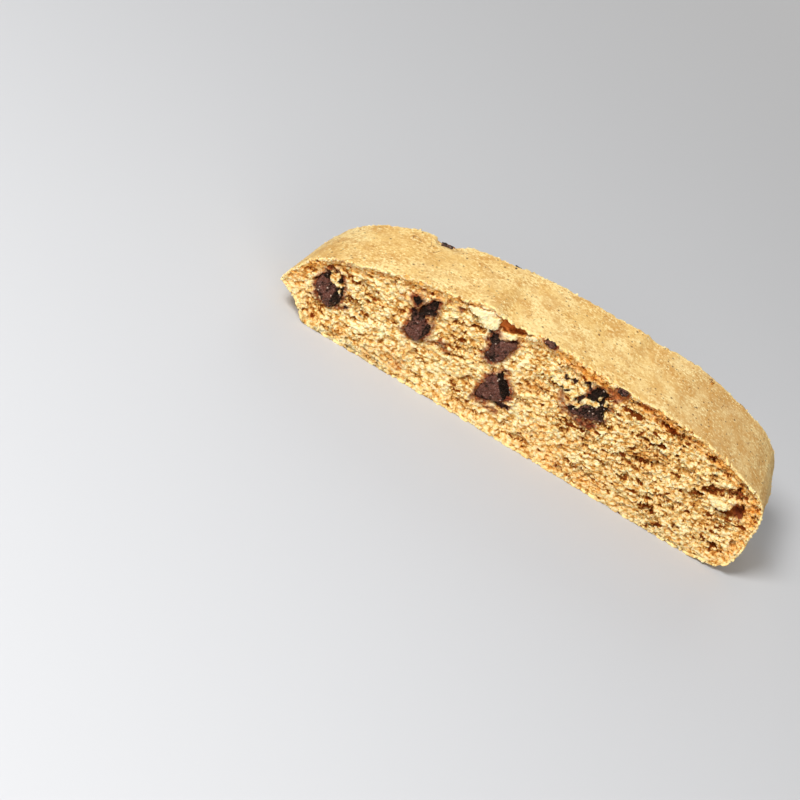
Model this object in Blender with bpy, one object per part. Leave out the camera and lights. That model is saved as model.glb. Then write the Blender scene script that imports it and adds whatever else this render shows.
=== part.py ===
"""One slice of twice-baked biscotti with chocolate chips, resting on its baked base.

The slice lies along X. Its two cut faces look along -Y and +Y, the base is flat on Z = 0 and the origin is
the centre of the base. Lengths are in metres.
"""

import math
import random

import bmesh
import bpy
import numpy as np
from mathutils import Euler, Matrix, Vector, noise

# Driving dimensions of the slice
LENGTH = 0.139
HEIGHT = 0.0332
THICKNESS = 0.025

# Outlines of the two cut faces, anticlockwise from the left of the base. Each point is a percentage of LENGTH
# from the middle and of HEIGHT from the base. The loaf was cut at a slant, so the back face lies further right.
FRONT_OUTLINE = [
    (-38.8, 0.0),
    (0.0, 0.0),
    (44.6, 0.0),
    (47.9, 1.8),
    (50.1, 10.2),
    (50.8, 24.1),
    (50.4, 43.7),
    (49.9, 58.4),
    (48.4, 72.3),
    (45.3, 80.4),
    (40.8, 86.7),
    (36.0, 91.3),
    (28.8, 96.7),
    (21.6, 98.5),
    (10.8, 97.0),
    (-2.2, 99.7),
    (-7.2, 96.7),
    (-11.9, 96.4),
    (-14.7, 99.7),
    (-19.1, 93.4),
    (-23.7, 88.6),
    (-29.1, 83.7),
    (-36.0, 74.7),
    (-42.9, 64.2),
    (-45.8, 54.5),
    (-47.5, 44.3),
    (-49.2, 25.9),
    (-47.7, 21.7),
    (-45.3, 15.1),
    (-43.7, 9.0),
    (-41.7, 2.7),
]
BACK_OUTLINE = [
    (-40.3, 0.0),
    (0.0, 0.0),
    (47.5, 0.0),
    (51.4, 2.4),
    (54.0, 12.7),
    (54.7, 31.6),
    (53.8, 43.4),
    (52.2, 56.9),
    (50.0, 72.3),
    (47.8, 82.2),
    (44.7, 89.2),
    (37.3, 100.3),
    (30.9, 106.0),
    (25.0, 108.4),
    (17.6, 106.6),
    (14.2, 109.3),
    (4.0, 106.3),
    (-3.9, 105.1),
    (-11.2, 101.2),
    (-20.6, 93.1),
    (-24.7, 85.2),
    (-26.8, 82.2),
    (-29.8, 83.7),
    (-34.0, 76.5),
    (-37.8, 66.9),
    (-41.3, 54.2),
    (-43.8, 34.6),
    (-45.0, 19.6),
    (-43.5, 6.0),
]
OUTLINE_STEPS = 16

# The point that both outlines are measured round, and how finely the solid is divided
HUB = (0.0, 0.014)
ALONG, UP, THROUGH = 64, 16, 6

# Relief
CRUMB_DEPTH = 0.0010
CRUMB_SCALE = 0.0042
CRUMB_COARSE_SCALE = 0.012
CRUST_DEPTH = 0.0004
CRUST_SCALE = 0.014
LIP_STAND = 0.0004
LIP_WIDTH = 0.0022
RAGGED_EDGE = 0.0005
RAGGED_SCALE = 0.005

# Flakes of crumb that stand up from the cut: side, X, Z, half width, half height, rise
FLAKES = [
    (-1, -0.0200, 0.0288, 0.0065, 0.0030, 0.0011),
    (-1, 0.0580, 0.0172, 0.0040, 0.0020, 0.0008),
    (-1, -0.0135, 0.0287, 0.0030, 0.0016, 0.0009),
    (1, 0.0300, 0.0180, 0.0060, 0.0030, 0.0008),
    (1, -0.0420, 0.0190, 0.0050, 0.0025, 0.0009),
]

# Chocolate chips: turned drops, whose profile is in shares of radius and height
CHIP_RADIUS = 0.0046
CHIP_HEIGHT = 0.0072
CHIP_PROFILE = [
    (0.0, 0.0),
    (0.82, 0.0),
    (1.0, 0.10),
    (0.93, 0.26),
    (0.66, 0.48),
    (0.34, 0.74),
    (0.15, 0.93),
    (0.0, 1.0),
]
CHIP_MIDDLE = 0.36
CHIP_STEPS = 12
CHIP_UNEVENNESS = 0.05
CHIP_RECESS = 0.0003
CHIP_GAP = 0.00035

# Each chip: name, side (-1 front, 1 back), X, Z, depth of its middle behind the cut, size, tilt about X and Y
CHIPS = [
    ("chip_front_1", -1, -0.0567, 0.0123, 0.0006, 0.94, 66, 14),
    ("chip_front_2", -1, -0.0328, 0.0168, 0.0008, 1.00, 12, 0),
    ("chip_front_3", -1, -0.0134, 0.0232, 0.0006, 0.95, 10, 59),
    ("chip_front_4", -1, -0.0067, 0.0124, 0.0002, 1.10, 0, -8),
    ("chip_front_5", -1, 0.0131, 0.0228, 0.0010, 1.22, 35, 40),
    ("chip_front_6", -1, -0.0326, 0.0247, 0.0004, 0.46, 0, 30),
    ("chip_front_7", -1, -0.0370, 0.0228, 0.0003, 0.40, 80, 0),
    ("chip_back_1", 1, 0.0500, 0.0160, 0.0008, 0.95, -70, 20),
    ("chip_back_2", 1, 0.0290, 0.0280, 0.0004, 0.88, -10, -25),
    ("chip_back_3", 1, 0.0040, 0.0125, 0.0010, 1.04, -25, 200),
    ("chip_back_4", 1, -0.0180, 0.0240, 0.0003, 0.90, -60, 75),
    ("chip_back_5", 1, -0.0450, 0.0120, 0.0008, 0.98, -5, 150),
]

# Bits of chip that break through the crust's lip: name, side, X, size
LIP_BITS = [
    ("chip_lip_1", -1, -0.0031, 0.40),
    ("chip_lip_2", -1, 0.0193, 0.38),
    ("chip_lip_3", 1, -0.0350, 0.46),
    ("chip_lip_4", 1, -0.0165, 0.36),
]
LIP_BIT_DROP = 0.0010
LIP_BIT_SINK = 0.0008
LIP_BIT_TILT = (60, 25)

# Larger cavities that the baking left: side, X, Z, half width, half height, depth
CAVITIES = [
    (-1, -0.0128, 0.0301, 0.0036, 0.0011, 0.0034),
    (-1, 0.0632, 0.0177, 0.0028, 0.0016, 0.0032),
    (-1, 0.0545, 0.0205, 0.0021, 0.0009, 0.0020),
    (-1, 0.0290, 0.0308, 0.0026, 0.0008, 0.0017),
    (-1, 0.0343, 0.0219, 0.0024, 0.0008, 0.0018),
    (-1, -0.0315, 0.0036, 0.0019, 0.0014, 0.0018),
    (-1, -0.0228, 0.0057, 0.0019, 0.0008, 0.0018),
    (-1, 0.0050, 0.0044, 0.0015, 0.0009, 0.0018),
    (1, -0.0550, 0.0150, 0.0019, 0.0014, 0.0030),
    (1, 0.0150, 0.0330, 0.0028, 0.0011, 0.0028),
    (1, 0.0380, 0.0080, 0.0018, 0.0011, 0.0020),
    (1, 0.0620, 0.0240, 0.0022, 0.0012, 0.0022),
]
PORE_COUNT = 9
PORE_RADIUS = (0.0009, 0.0014)
PORE_STRETCH = 1.3
PORE_ALONG = (-0.40, 0.46)
PORE_UP = (0.12, 0.72)
PORE_SEED = 7
HOLLOW_UNEVENNESS = 0.35

CRUMB_COLOUR = (0.66, 0.43, 0.17, 1.0)
CHOCOLATE_COLOUR = (0.028, 0.012, 0.009, 1.0)


def smooth_loop(points):
    """A closed Catmull-Rom curve through the points, kept from dipping under the base."""
    points = np.array(points) / 100 * (LENGTH, HEIGHT)
    share = np.arange(OUTLINE_STEPS)[:, None] / OUTLINE_STEPS
    stretches = []
    for i in range(len(points)):
        before, start, end, after = (points[(i + k - 1) % len(points)] for k in range(4))
        stretches.append(
            0.5
            * (
                2 * start
                + (end - before) * share
                + (2 * before - 5 * start + 4 * end - after) * share**2
                + (3 * start - before - 3 * end + after) * share**3
            )
        )
    curve = np.concatenate(stretches)
    curve[:, 1] = np.maximum(curve[:, 1], 0.0)
    return curve


def squeezed_angle(across, up):
    """The angle of a place round the hub, once the slice is squeezed to be about as high as it is long."""
    return np.arctan2((up - HUB[1]) / HEIGHT, (across - HUB[0]) / LENGTH)


class Outline:
    """A cut face's outline, looked up by its angle round the hub."""

    def __init__(self, points):
        curve = smooth_loop(points)
        angle = squeezed_angle(curve[:, 0], curve[:, 1])
        order = np.argsort(angle)
        self.angle, self.curve = angle[order], curve[order]

    def point(self, u, v):
        """Where a point of the square -1..1 lies in the face."""
        across = u * math.sqrt(1 - v * v / 2)
        up = v * math.sqrt(1 - u * u / 2)
        angle = math.atan2(up, across)
        edge = np.array([np.interp(angle, self.angle, side, period=2 * math.pi) for side in self.curve.T])
        return np.array(HUB) + math.hypot(across, up) * (edge - HUB)

    def top(self, x):
        """Height of the crust above the base at a place along the face."""
        upper = self.curve[self.curve[:, 1] > HUB[1]]
        upper = upper[np.argsort(upper[:, 0])]
        return float(np.interp(x, upper[:, 0], upper[:, 1]))


FRONT, BACK = Outline(FRONT_OUTLINE), Outline(BACK_OUTLINE)


def slice_point(u, v, w):
    """A point of the slice from its place in a cube -1..1: u along, v up and w through."""
    across, up = (1 - w) / 2 * FRONT.point(u, v) + (1 + w) / 2 * BACK.point(u, v)
    return Vector((across, w * THICKNESS / 2, up))


def bump(distance):
    """A smooth hill: 1 at its top and 0 from a distance of 1."""
    return (1 - min(1.0, distance) ** 2) ** 2


def crumb_relief(place, side):
    """How far the crumb lies behind the cut's plane."""
    fine = 0.5 + 0.5 * noise.noise(place / CRUMB_SCALE)
    coarse = 0.5 + 0.5 * noise.noise(place / CRUMB_COARSE_SCALE)
    depth = LIP_STAND + CRUMB_DEPTH * (fine + 0.6 * coarse)
    for flake_side, x, z, wide, high, rise in FLAKES:
        if flake_side == side:
            depth -= rise * bump(math.hypot((place.x - x) / wide, (place.z - z) / high))
    return max(0.0, depth)


def relieved_point(u, v, w):
    """slice_point with the crags of the cut faces, the ragged lip and the low waves of the crust."""
    place = slice_point(u, v, w)
    reach = max(abs(u), abs(v))
    if abs(w) == 1 and reach < 1:
        rim = (slice_point(u / reach, v / reach, w) - place).length if reach else LIP_WIDTH
        place.y -= w * crumb_relief(place, w) * min(1.0, rim / LIP_WIDTH)
    if reach == 1 and place.z > 0:
        outward = Vector(((place.x - HUB[0]) / LENGTH, 0, (place.z - HUB[1]) / HEIGHT)).normalized()
        wave = CRUST_DEPTH * noise.noise(place / CRUST_SCALE)
        ragged = RAGGED_EDGE * noise.noise(place / RAGGED_SCALE) if abs(w) == 1 else 0.0
        lift = min(1.0, place.z / (0.2 * HEIGHT))
        place += outward * (wave + ragged) * lift
        place.z = max(place.z, 0.0)
    return place


def mesh_object(name, work, material, collection=None):
    """An object made from a bmesh, which is freed."""
    bmesh.ops.recalc_face_normals(work, faces=work.faces)
    if work.calc_volume(signed=True) < 0:
        bmesh.ops.reverse_faces(work, faces=work.faces)
    mesh = bpy.data.meshes.new(name)
    work.to_mesh(mesh)
    work.free()
    mesh.materials.append(material)
    made = bpy.data.objects.new(name, mesh)
    (collection or bpy.context.scene.collection).objects.link(made)
    return made


def food_material(name, colour, roughness):
    """A Principled BSDF of one colour."""
    material = bpy.data.materials.new(name)
    material.use_nodes = True
    shader = material.node_tree.nodes["Principled BSDF"]
    shader.inputs["Base Color"].default_value = colour
    shader.inputs["Roughness"].default_value = roughness
    shader.inputs["Metallic"].default_value = 0.0
    return material


def slice_body(material):
    """The baked slice: a cube's surface grid, bent to the loaf's section and given its relief."""
    work = bmesh.new()
    counts = (ALONG, UP, THROUGH)
    made = {}

    def vertex(index):
        if index not in made:
            u, v, w = (2 * i / n - 1 for i, n in zip(index, counts))
            made[index] = work.verts.new(relieved_point(u, v, w))
        return made[index]

    for axis in range(3):
        first, second = (axis + 1) % 3, (axis + 2) % 3
        for end in (0, counts[axis]):
            for i in range(counts[first]):
                for j in range(counts[second]):
                    corners = []
                    for di, dj in ((0, 0), (1, 0), (1, 1), (0, 1)):
                        index = [0, 0, 0]
                        index[axis], index[first], index[second] = end, i + di, j + dj
                        corners.append(vertex(tuple(index)))
                    work.faces.new(corners)
    return mesh_object("biscuit", work, material)


def chip_shape(size, grow=0.0):
    """A whole chocolate chip about the origin, its blunt point upward."""
    work = bmesh.new()
    radius, height = CHIP_RADIUS * size + grow, CHIP_HEIGHT * size + 2 * grow
    verts = [work.verts.new((radius * across, 0, height * (up - CHIP_MIDDLE))) for across, up in CHIP_PROFILE]
    edges = [work.edges.new(pair) for pair in zip(verts, verts[1:])]
    bmesh.ops.spin(
        work,
        geom=verts + edges,
        cent=(0, 0, 0),
        axis=(0, 0, 1),
        angle=2 * math.pi,
        steps=CHIP_STEPS,
        use_merge=True,
    )
    bmesh.ops.remove_doubles(work, verts=work.verts, dist=1e-6)
    for vert in work.verts:
        facing = vert.co.normalized() * 1.5
        vert.co *= 1 + CHIP_UNEVENNESS * noise.noise(facing + Vector((9 * size, 0, 0)))
    return work


def cut_flush(work, side, recess):
    """Takes away what the knife took, and closes the cut."""
    cut = bmesh.ops.bisect_plane(
        work,
        geom=work.verts[:] + work.edges[:] + work.faces[:],
        plane_co=(0, side * (THICKNESS / 2 - recess), 0),
        plane_no=(0, side, 0),
        clear_outer=True,
    )
    rim = [item for item in cut["geom_cut"] if isinstance(item, bmesh.types.BMEdge)]
    bmesh.ops.contextual_create(work, geom=rim)
    bmesh.ops.triangulate(work, faces=work.faces[:])


def add_cutter(name, work, material, sockets):
    """A helper whose shape is taken out of the slice."""
    cutter = mesh_object(name, work, material, sockets)
    cutter.hide_render = True
    cutter.display_type = "WIRE"


def add_inlay(name, side, place, tilt, size, recess, material, sockets):
    """A chip with the cut through it, and the socket round it. place is X, Z and the depth behind the cut."""
    x, z, sink = place
    turn = Euler((math.radians(tilt[0]), math.radians(tilt[1]), 0)).to_matrix().to_4x4()
    placing = Matrix.Translation((x, side * (THICKNESS / 2 - sink), z)) @ turn
    chip = chip_shape(size)
    chip.transform(placing)
    cut_flush(chip, side, recess)
    mesh_object(name, chip, material)
    socket = chip_shape(size, CHIP_GAP)
    socket.transform(placing)
    add_cutter(f"socket_{name}", socket, material, sockets)


def add_chips(material, sockets):
    """The chips in the two cut faces, then the bits in the crust's lips."""
    for name, side, x, z, sink, size, *tilt in CHIPS:
        add_inlay(name, side, (x, z, sink), tilt, size, CHIP_RECESS, material, sockets)
    for name, side, x, size in LIP_BITS:
        outline = BACK if side > 0 else FRONT
        place = (x, outline.top(x) - LIP_BIT_DROP, LIP_BIT_SINK)
        tilt = (side * LIP_BIT_TILT[0], LIP_BIT_TILT[1])
        add_inlay(name, side, place, tilt, size, 0.0, material, sockets)


def add_cavity(name, place, radii, material, sockets):
    """A ragged hollow in the crumb."""
    work = bmesh.new()
    bmesh.ops.create_icosphere(work, subdivisions=1, radius=1.0)
    for vert in work.verts:
        vert.co *= 1 + HOLLOW_UNEVENNESS * noise.noise(vert.co * 1.7 + Vector(place) / CRUMB_SCALE)
    work.transform(Matrix.Translation(place) @ Matrix.Diagonal((*radii, 1)))
    add_cutter(name, work, material, sockets)


def add_cavities(material, sockets):
    """The larger cavities, then pores strewn clear of the chips and of each other."""
    taken = [(side, x, z, 1.5 * CHIP_RADIUS) for _, side, x, z, *_ in CHIPS]
    for n, (side, x, z, wide, high, deep) in enumerate(CAVITIES):
        place = (x, side * THICKNESS / 2, z)
        add_cavity(f"cavity_{n}", place, (wide, deep, high), material, sockets)
        taken.append((side, x, z, wide))
    draw = random.Random(PORE_SEED)
    for side in (-1, 1):
        count = 0
        while count < PORE_COUNT:
            x = draw.uniform(*PORE_ALONG) * LENGTH
            z = draw.uniform(*PORE_UP) * HEIGHT
            radius = draw.uniform(*PORE_RADIUS)
            if any(s == side and math.hypot(x - a, z - b) < r + 2.5 * radius for s, a, b, r in taken):
                continue
            place = (x, side * (THICKNESS / 2 - CRUMB_DEPTH), z)
            radii = (PORE_STRETCH * radius, radius, radius)
            add_cavity(f"pore_{side}_{count}", place, radii, material, sockets)
            taken.append((side, x, z, radius))
            count += 1


def centre_on_base(objects):
    """Moves everything so that the slice's box stands centred on the origin."""
    body = next(item for item in objects if item.name == "biscuit")
    corners = np.array([vert.co for vert in body.data.vertices])
    middle = (corners.min(0) + corners.max(0)) / 2
    shift = Matrix.Translation((-middle[0], -middle[1], -corners[:, 2].min()))
    for item in objects:
        item.data.transform(shift)


def main():
    """Clears the scene, makes every piece and hollows the slice round its chips."""
    for old in list(bpy.data.objects):
        bpy.data.objects.remove(old, do_unlink=True)
    crumb = food_material("baked_crumb", CRUMB_COLOUR, 0.85)
    chocolate = food_material("dark_chocolate", CHOCOLATE_COLOUR, 0.4)
    sockets = bpy.data.collections.new("sockets")
    bpy.context.scene.collection.children.link(sockets)
    body = slice_body(crumb)
    add_chips(chocolate, sockets)
    add_cavities(crumb, sockets)
    centre_on_base(list(bpy.data.objects))
    hollow = body.modifiers.new("sockets_and_cavities", "BOOLEAN")
    hollow.operation = "DIFFERENCE"
    hollow.solver = "MANIFOLD"
    hollow.operand_type = "COLLECTION"
    hollow.collection = sockets


main()
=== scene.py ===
"""Dresses one slice of chocolate-chip biscotti for its portrait.

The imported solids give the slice's outline, relief and chips. This script builds the porous crumb of both
cut faces, the thin baked crust with its ragged lip, the broken chocolate chips and the loose grains, and then
sets the floor, the light and the camera. Lengths are in metres unless a name or a docstring says otherwise.
"""

import logging
import math
from dataclasses import dataclass, field
from enum import Enum
from typing import Any, Iterable, Sequence

import bmesh
import bpy
import numpy as np
from mathutils import Matrix, Vector, noise
from mathutils.bvhtree import BVHTree
from mathutils.kdtree import KDTree


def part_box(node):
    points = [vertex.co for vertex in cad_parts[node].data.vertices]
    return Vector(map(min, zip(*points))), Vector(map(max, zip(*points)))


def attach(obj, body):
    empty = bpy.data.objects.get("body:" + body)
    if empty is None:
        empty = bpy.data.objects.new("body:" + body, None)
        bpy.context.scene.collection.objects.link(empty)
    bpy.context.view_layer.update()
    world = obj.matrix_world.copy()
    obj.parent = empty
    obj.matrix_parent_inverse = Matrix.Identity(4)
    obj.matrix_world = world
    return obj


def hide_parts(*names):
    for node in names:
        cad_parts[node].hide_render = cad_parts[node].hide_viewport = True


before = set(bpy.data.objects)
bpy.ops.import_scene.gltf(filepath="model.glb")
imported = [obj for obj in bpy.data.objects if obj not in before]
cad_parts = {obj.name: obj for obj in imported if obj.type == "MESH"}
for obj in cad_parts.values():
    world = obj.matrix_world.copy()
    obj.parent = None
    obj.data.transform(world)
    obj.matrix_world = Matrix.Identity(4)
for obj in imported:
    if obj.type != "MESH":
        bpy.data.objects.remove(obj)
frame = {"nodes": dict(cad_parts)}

log = logging.getLogger("biscotti")

MM = 0.001
BISCUIT = "biscuit"
CHIP_PREFIX = "chip_"
LIP_PREFIX = "chip_lip_"
GEOMETRY_TREE = "GeometryNodeTree"
FAR_FROM_CHIPS = 9.0
FULL_TURN = 6.28
MIDDLE_GREY = (0.5, 0.5, 0.5)

CAMERA_EYE = (-0.1181, -0.5115, 0.3149)
CAMERA_TARGET = (-0.0292, -0.0117, -0.0050)
CAMERA_ROLL = 36.5
SENSOR_WIDTH = 36.0
PICTURE_WIDTH = 800
FOCAL_PIXELS = 2338.0


class Side(Enum):
    """The two cut faces, by the direction in which they look along Y."""

    FRONT = -1
    BACK = 1


class Draw(Enum):
    """What a random draw gives each element."""

    NUMBER = "FLOAT"
    VECTOR = "FLOAT_VECTOR"


def free_socket(sockets: Iterable[Any], name: str) -> Any:
    """Finds a socket by its name among those that the node's settings leave in use.

    Args:
        sockets: The node's inputs or outputs.
        name: The socket's name.

    Returns:
        The socket.
    """
    return next(s for s in sockets if s.name == name and s.enabled)


class Weave:
    """Adds nodes to a tree and links them, so that a recipe reads as a list of steps."""

    def __init__(self, tree: bpy.types.NodeTree) -> None:
        """Starts on a tree.

        Args:
            tree: The geometry or shader tree that the nodes go into.
        """
        self.tree = tree

    def node(self, kind: str, settings: dict[str, Any] | None = None, **inputs: Any) -> Any:
        """Adds a node.

        Args:
            kind: Blender's name of the node type.
            settings: Properties of the node.
            **inputs: Values or sockets by input name, with spaces as underscores.

        Returns:
            The node.
        """
        made = self.tree.nodes.new(kind)
        for key, value in (settings or {}).items():
            setattr(made, key, value)
        for key, value in inputs.items():
            self.feed(free_socket(made.inputs, key.replace("_", " ")), value)
        return made

    def feed(self, target: Any, value: Any) -> None:
        """Links a socket to an input, or sets the input's own value.

        Args:
            target: The input.
            value: Value or socket.
        """
        if isinstance(value, bpy.types.NodeSocket):
            self.tree.links.new(value, target)
        else:
            target.default_value = value

    def maths(self, operation: str, first: Any, second: Any = 0.0) -> Any:
        """A step of arithmetic.

        Args:
            operation: Blender's name of the operation.
            first: Value or socket.
            second: Value or socket, unused by operations on one number.

        Returns:
            The result's socket.
        """
        made = self.tree.nodes.new("ShaderNodeMath")
        made.operation = operation
        self.feed(made.inputs[0], first)
        self.feed(made.inputs[1], second)
        return made.outputs[0]

    def vector(self, operation: str, first: Any, second: Any) -> Any:
        """A step of arithmetic on vectors, whose second value is a number for SCALE.

        Args:
            operation: Blender's name of the operation.
            first: Vector or socket.
            second: Vector, number or socket.

        Returns:
            The result's socket.
        """
        made = self.tree.nodes.new("ShaderNodeVectorMath")
        made.operation = operation
        self.feed(made.inputs[0], first)
        self.feed(made.inputs[3 if operation == "SCALE" else 1], second)
        return made.outputs[0]

    def ramp(self, value: Any, low: Any, high: Any, start: Any = 0.0, end: Any = 1.0) -> Any:
        """Maps a value smoothly from low..high to start..end.

        Args:
            value: Socket to map.
            low: Where the result is start.
            high: Where the result is end.
            start: Result at low.
            end: Result at high.

        Returns:
            The result's socket.
        """
        made = self.node(
            "ShaderNodeMapRange",
            {"interpolation_type": "SMOOTHSTEP"},
            Value=value,
            From_Min=low,
            From_Max=high,
            To_Min=start,
            To_Max=end,
        )
        return made.outputs[0]

    def noise(self, place: Any, scale: Any, detail: float = 2.0, roughness: float = 0.5) -> Any:
        """A noise texture node.

        Args:
            place: The place that it is read at.
            scale: Features a unit.
            detail: How many finer layers are laid over it.
            roughness: How strong the finer layers are.

        Returns:
            The node.
        """
        return self.node(
            "ShaderNodeTexNoise", None, Vector=place, Scale=scale, Detail=detail, Roughness=roughness
        )

    def cells(self, place: Any, scale: Any) -> Any:
        """A Voronoi texture node read at a place, with scale in cells a unit."""
        return self.node("ShaderNodeTexVoronoi", {"feature": "F1"}, Vector=place, Scale=scale)

    def part(self, vector: Any, axis: int) -> Any:
        """The socket of a vector's X, Y or Z, for an axis of 0, 1 or 2."""
        return self.node("ShaderNodeSeparateXYZ", None, Vector=vector).outputs[axis]

    def product(self, first: Any, *others: Any) -> Any:
        """Multiplies values.

        Args:
            first: Value or socket.
            *others: Values or sockets, taken in turn.

        Returns:
            The result's socket.
        """
        for other in others:
            first = self.maths("MULTIPLY", first, other)
        return first

    def total(self, first: Any, *others: Any) -> Any:
        """Adds values.

        Args:
            first: Value or socket.
            *others: Values or sockets, taken in turn.

        Returns:
            The result's socket.
        """
        for other in others:
            first = self.maths("ADD", first, other)
        return first

    def centred(self, value: Any, middle: float = 0.5) -> Any:
        """A noise value less its middle, so that it swings both ways."""
        return self.maths("SUBTRACT", value, middle)


class Recipe(Weave):
    """A Geometry Nodes tree with named sizes, and its use on one mesh."""

    def __init__(self, name: str) -> None:
        """Makes the tree with a geometry input and output.

        Args:
            name: The tree's name.
        """
        super().__init__(bpy.data.node_groups.new(name, GEOMETRY_TREE))
        face = self.tree.interface
        face.new_socket("Geometry", in_out="INPUT", socket_type="NodeSocketGeometry")
        face.new_socket("Geometry", in_out="OUTPUT", socket_type="NodeSocketGeometry")
        self.source = self.tree.nodes.new("NodeGroupInput")
        self.sink = self.tree.nodes.new("NodeGroupOutput")
        self.values: dict[str, Any] = {}

    @property
    def geometry(self) -> Any:
        """The socket of the mesh that comes in."""
        return self.source.outputs["Geometry"]

    def size(self, name: str, value: Any, kind: str = "NodeSocketFloat") -> Any:
        """Adds a named input and remembers the value that this use gives it.

        Args:
            name: The input's name.
            value: The value for the modifier.
            kind: The socket's type.

        Returns:
            The input's socket inside the tree.
        """
        made = self.tree.interface.new_socket(name, in_out="INPUT", socket_type=kind)
        self.values[made.identifier] = value
        return self.source.outputs[name]

    def field(self, name: str) -> Any:
        """A named number stored on the mesh."""
        made = self.node("GeometryNodeInputNamedAttribute", {"data_type": "FLOAT"}, Name=name)
        return free_socket(made.outputs, "Attribute")

    def store(self, geometry: Any, name: str, value: Any) -> Any:
        """Keeps a number on every point under a name, for the material to read.

        Args:
            geometry: The geometry's socket.
            name: The number's name.
            value: Value or socket.

        Returns:
            The socket of the geometry that holds the number.
        """
        kind = {"data_type": "FLOAT", "domain": "POINT"}
        made = self.node("GeometryNodeStoreNamedAttribute", kind, Geometry=geometry, Name=name, Value=value)
        return made.outputs[0]

    def place_in_mm(self) -> Any:
        """Each point's place in millimetres."""
        return self.vector("SCALE", self.node("GeometryNodeInputPosition").outputs[0], 1.0 / MM)

    def shifted(self, offset: Any) -> Any:
        """The mesh that comes in, with each of its points moved by an offset."""
        return self.node("GeometryNodeSetPosition", None, Geometry=self.geometry, Offset=offset).outputs[0]

    def drifted(self, place: Any, scale: float, reach: float) -> Any:
        """A place moved about by smooth noise.

        Args:
            place: The place's socket.
            scale: Features of the noise a unit.
            reach: How far the noise moves it, in units.

        Returns:
            The moved place's socket.
        """
        drift = self.vector("SUBTRACT", self.noise(place, scale, 2.0).outputs["Color"], MIDDLE_GREY)
        return self.vector("ADD", place, self.vector("SCALE", drift, reach))

    def random(self, low: Any, high: Any, seed: Any, draw: Draw) -> Any:
        """A random number or vector for each element.

        Args:
            low: Smallest value.
            high: Largest value.
            seed: The draw's seed.
            draw: Whether a number or a vector is drawn.

        Returns:
            The value's socket.
        """
        made = self.node("FunctionNodeRandomValue", {"data_type": draw.value})
        for name, value in (("Min", low), ("Max", high), ("Seed", seed)):
            self.feed(free_socket(made.inputs, name), value)
        return free_socket(made.outputs, "Value")

    def holes(self, place: Any, size: Any, depth: Any, rarity: float, width: float) -> Any:
        """Round holes of many widths, none of them in a share of the cells.

        Args:
            place: The place's socket.
            size: Spacing of the cells.
            depth: Depth of a hole.
            rarity: Share of the cells that have no hole.
            width: Radius of the widest hole, as a share of the spacing.

        Returns:
            The depth's socket.
        """
        cells = self.cells(place, self.maths("DIVIDE", 1.0, size))
        wide = self.ramp(self.part(cells.outputs["Color"], 0), rarity, 1.0, 0.0, width)
        return self.ramp(cells.outputs["Distance"], wide, self.maths("MULTIPLY", wide, 0.5), 0.0, depth)

    def finish(self, geometry: Any, material: bpy.types.Material) -> None:
        """Ends the tree with Realize Instances and Set Material.

        Args:
            geometry: The finished geometry.
            material: The finish of every face.
        """
        real = self.node("GeometryNodeRealizeInstances", None, Geometry=geometry)
        dressed = self.node("GeometryNodeSetMaterial", None, Geometry=real.outputs[0], Material=material)
        self.feed(self.sink.inputs[0], dressed.outputs[0])

    def bake(self, base: bpy.types.Object, name: str) -> bpy.types.Object:
        """Runs the tree on a mesh object and keeps the result as a plain mesh.

        Args:
            base: The object that the tree starts from, which is removed.
            name: The finished piece's name.

        Returns:
            The finished piece.
        """
        modifier = base.modifiers.new("recipe", "NODES")
        modifier.node_group = self.tree
        for identifier, value in self.values.items():
            modifier[identifier] = value
        graph = bpy.context.evaluated_depsgraph_get()
        graph.update()
        done = base.evaluated_get(graph)
        mesh = bpy.data.meshes.new_from_object(done, preserve_all_data_layers=True, depsgraph=graph)
        base.modifiers.remove(modifier)
        bpy.data.objects.remove(base, do_unlink=True)
        mesh.name = name
        mesh.shade_smooth()
        return link(bpy.data.objects.new(name, mesh))


def link(piece: bpy.types.Object) -> bpy.types.Object:
    """Puts an object into the scene."""
    bpy.context.scene.collection.objects.link(piece)
    return piece


def mesh_object(name: str, points: np.ndarray, faces: Sequence[Sequence[int]]) -> bpy.types.Object:
    """Makes a mesh object from points and faces.

    Args:
        name: The object's name.
        points: One row for each point.
        faces: Point numbers of each face.

    Returns:
        The object, in the scene.
    """
    mesh = bpy.data.meshes.new(name)
    mesh.from_pydata(np.asarray(points, float).tolist(), [], [list(map(int, f)) for f in faces])
    return link(bpy.data.objects.new(name, mesh))


def outward(piece: bpy.types.Object) -> None:
    """Turns the faces of a closed mesh outwards.

    Args:
        piece: The mesh object.
    """
    work = bmesh.new()
    work.from_mesh(piece.data)
    bmesh.ops.recalc_face_normals(work, faces=work.faces)
    work.to_mesh(piece.data)
    work.free()


def keep_numbers(piece: bpy.types.Object, **values: np.ndarray) -> None:
    """Stores one number a point under each name.

    Args:
        piece: The mesh object.
        **values: The numbers, in the order of the points.
    """
    for name, row in values.items():
        layer = piece.data.attributes.new(name, "FLOAT", "POINT")
        layer.data.foreach_set("value", np.asarray(row, np.float32))


def node_points(name: str) -> np.ndarray:
    """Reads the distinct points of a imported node.

    Args:
        name: The node's name.

    Returns:
        One row for each point.
    """
    mesh = frame["nodes"][name].data
    points = np.empty(3 * len(mesh.vertices), np.float32)
    mesh.vertices.foreach_get("co", points)
    return np.unique(points.reshape(-1, 3).astype(float).round(7), axis=0)


def keep_inside(piece: bpy.types.Object) -> None:
    """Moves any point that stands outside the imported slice's box onto it.

    Args:
        piece: The finished piece.
    """
    low, high = (np.array(corner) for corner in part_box(BISCUIT))
    places = np.empty(len(piece.data.vertices) * 3)
    piece.data.vertices.foreach_get("co", places)
    places = np.clip(places.reshape(-1, 3), low, high)
    piece.data.vertices.foreach_set("co", places.ravel())
    piece.data.update()


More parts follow.
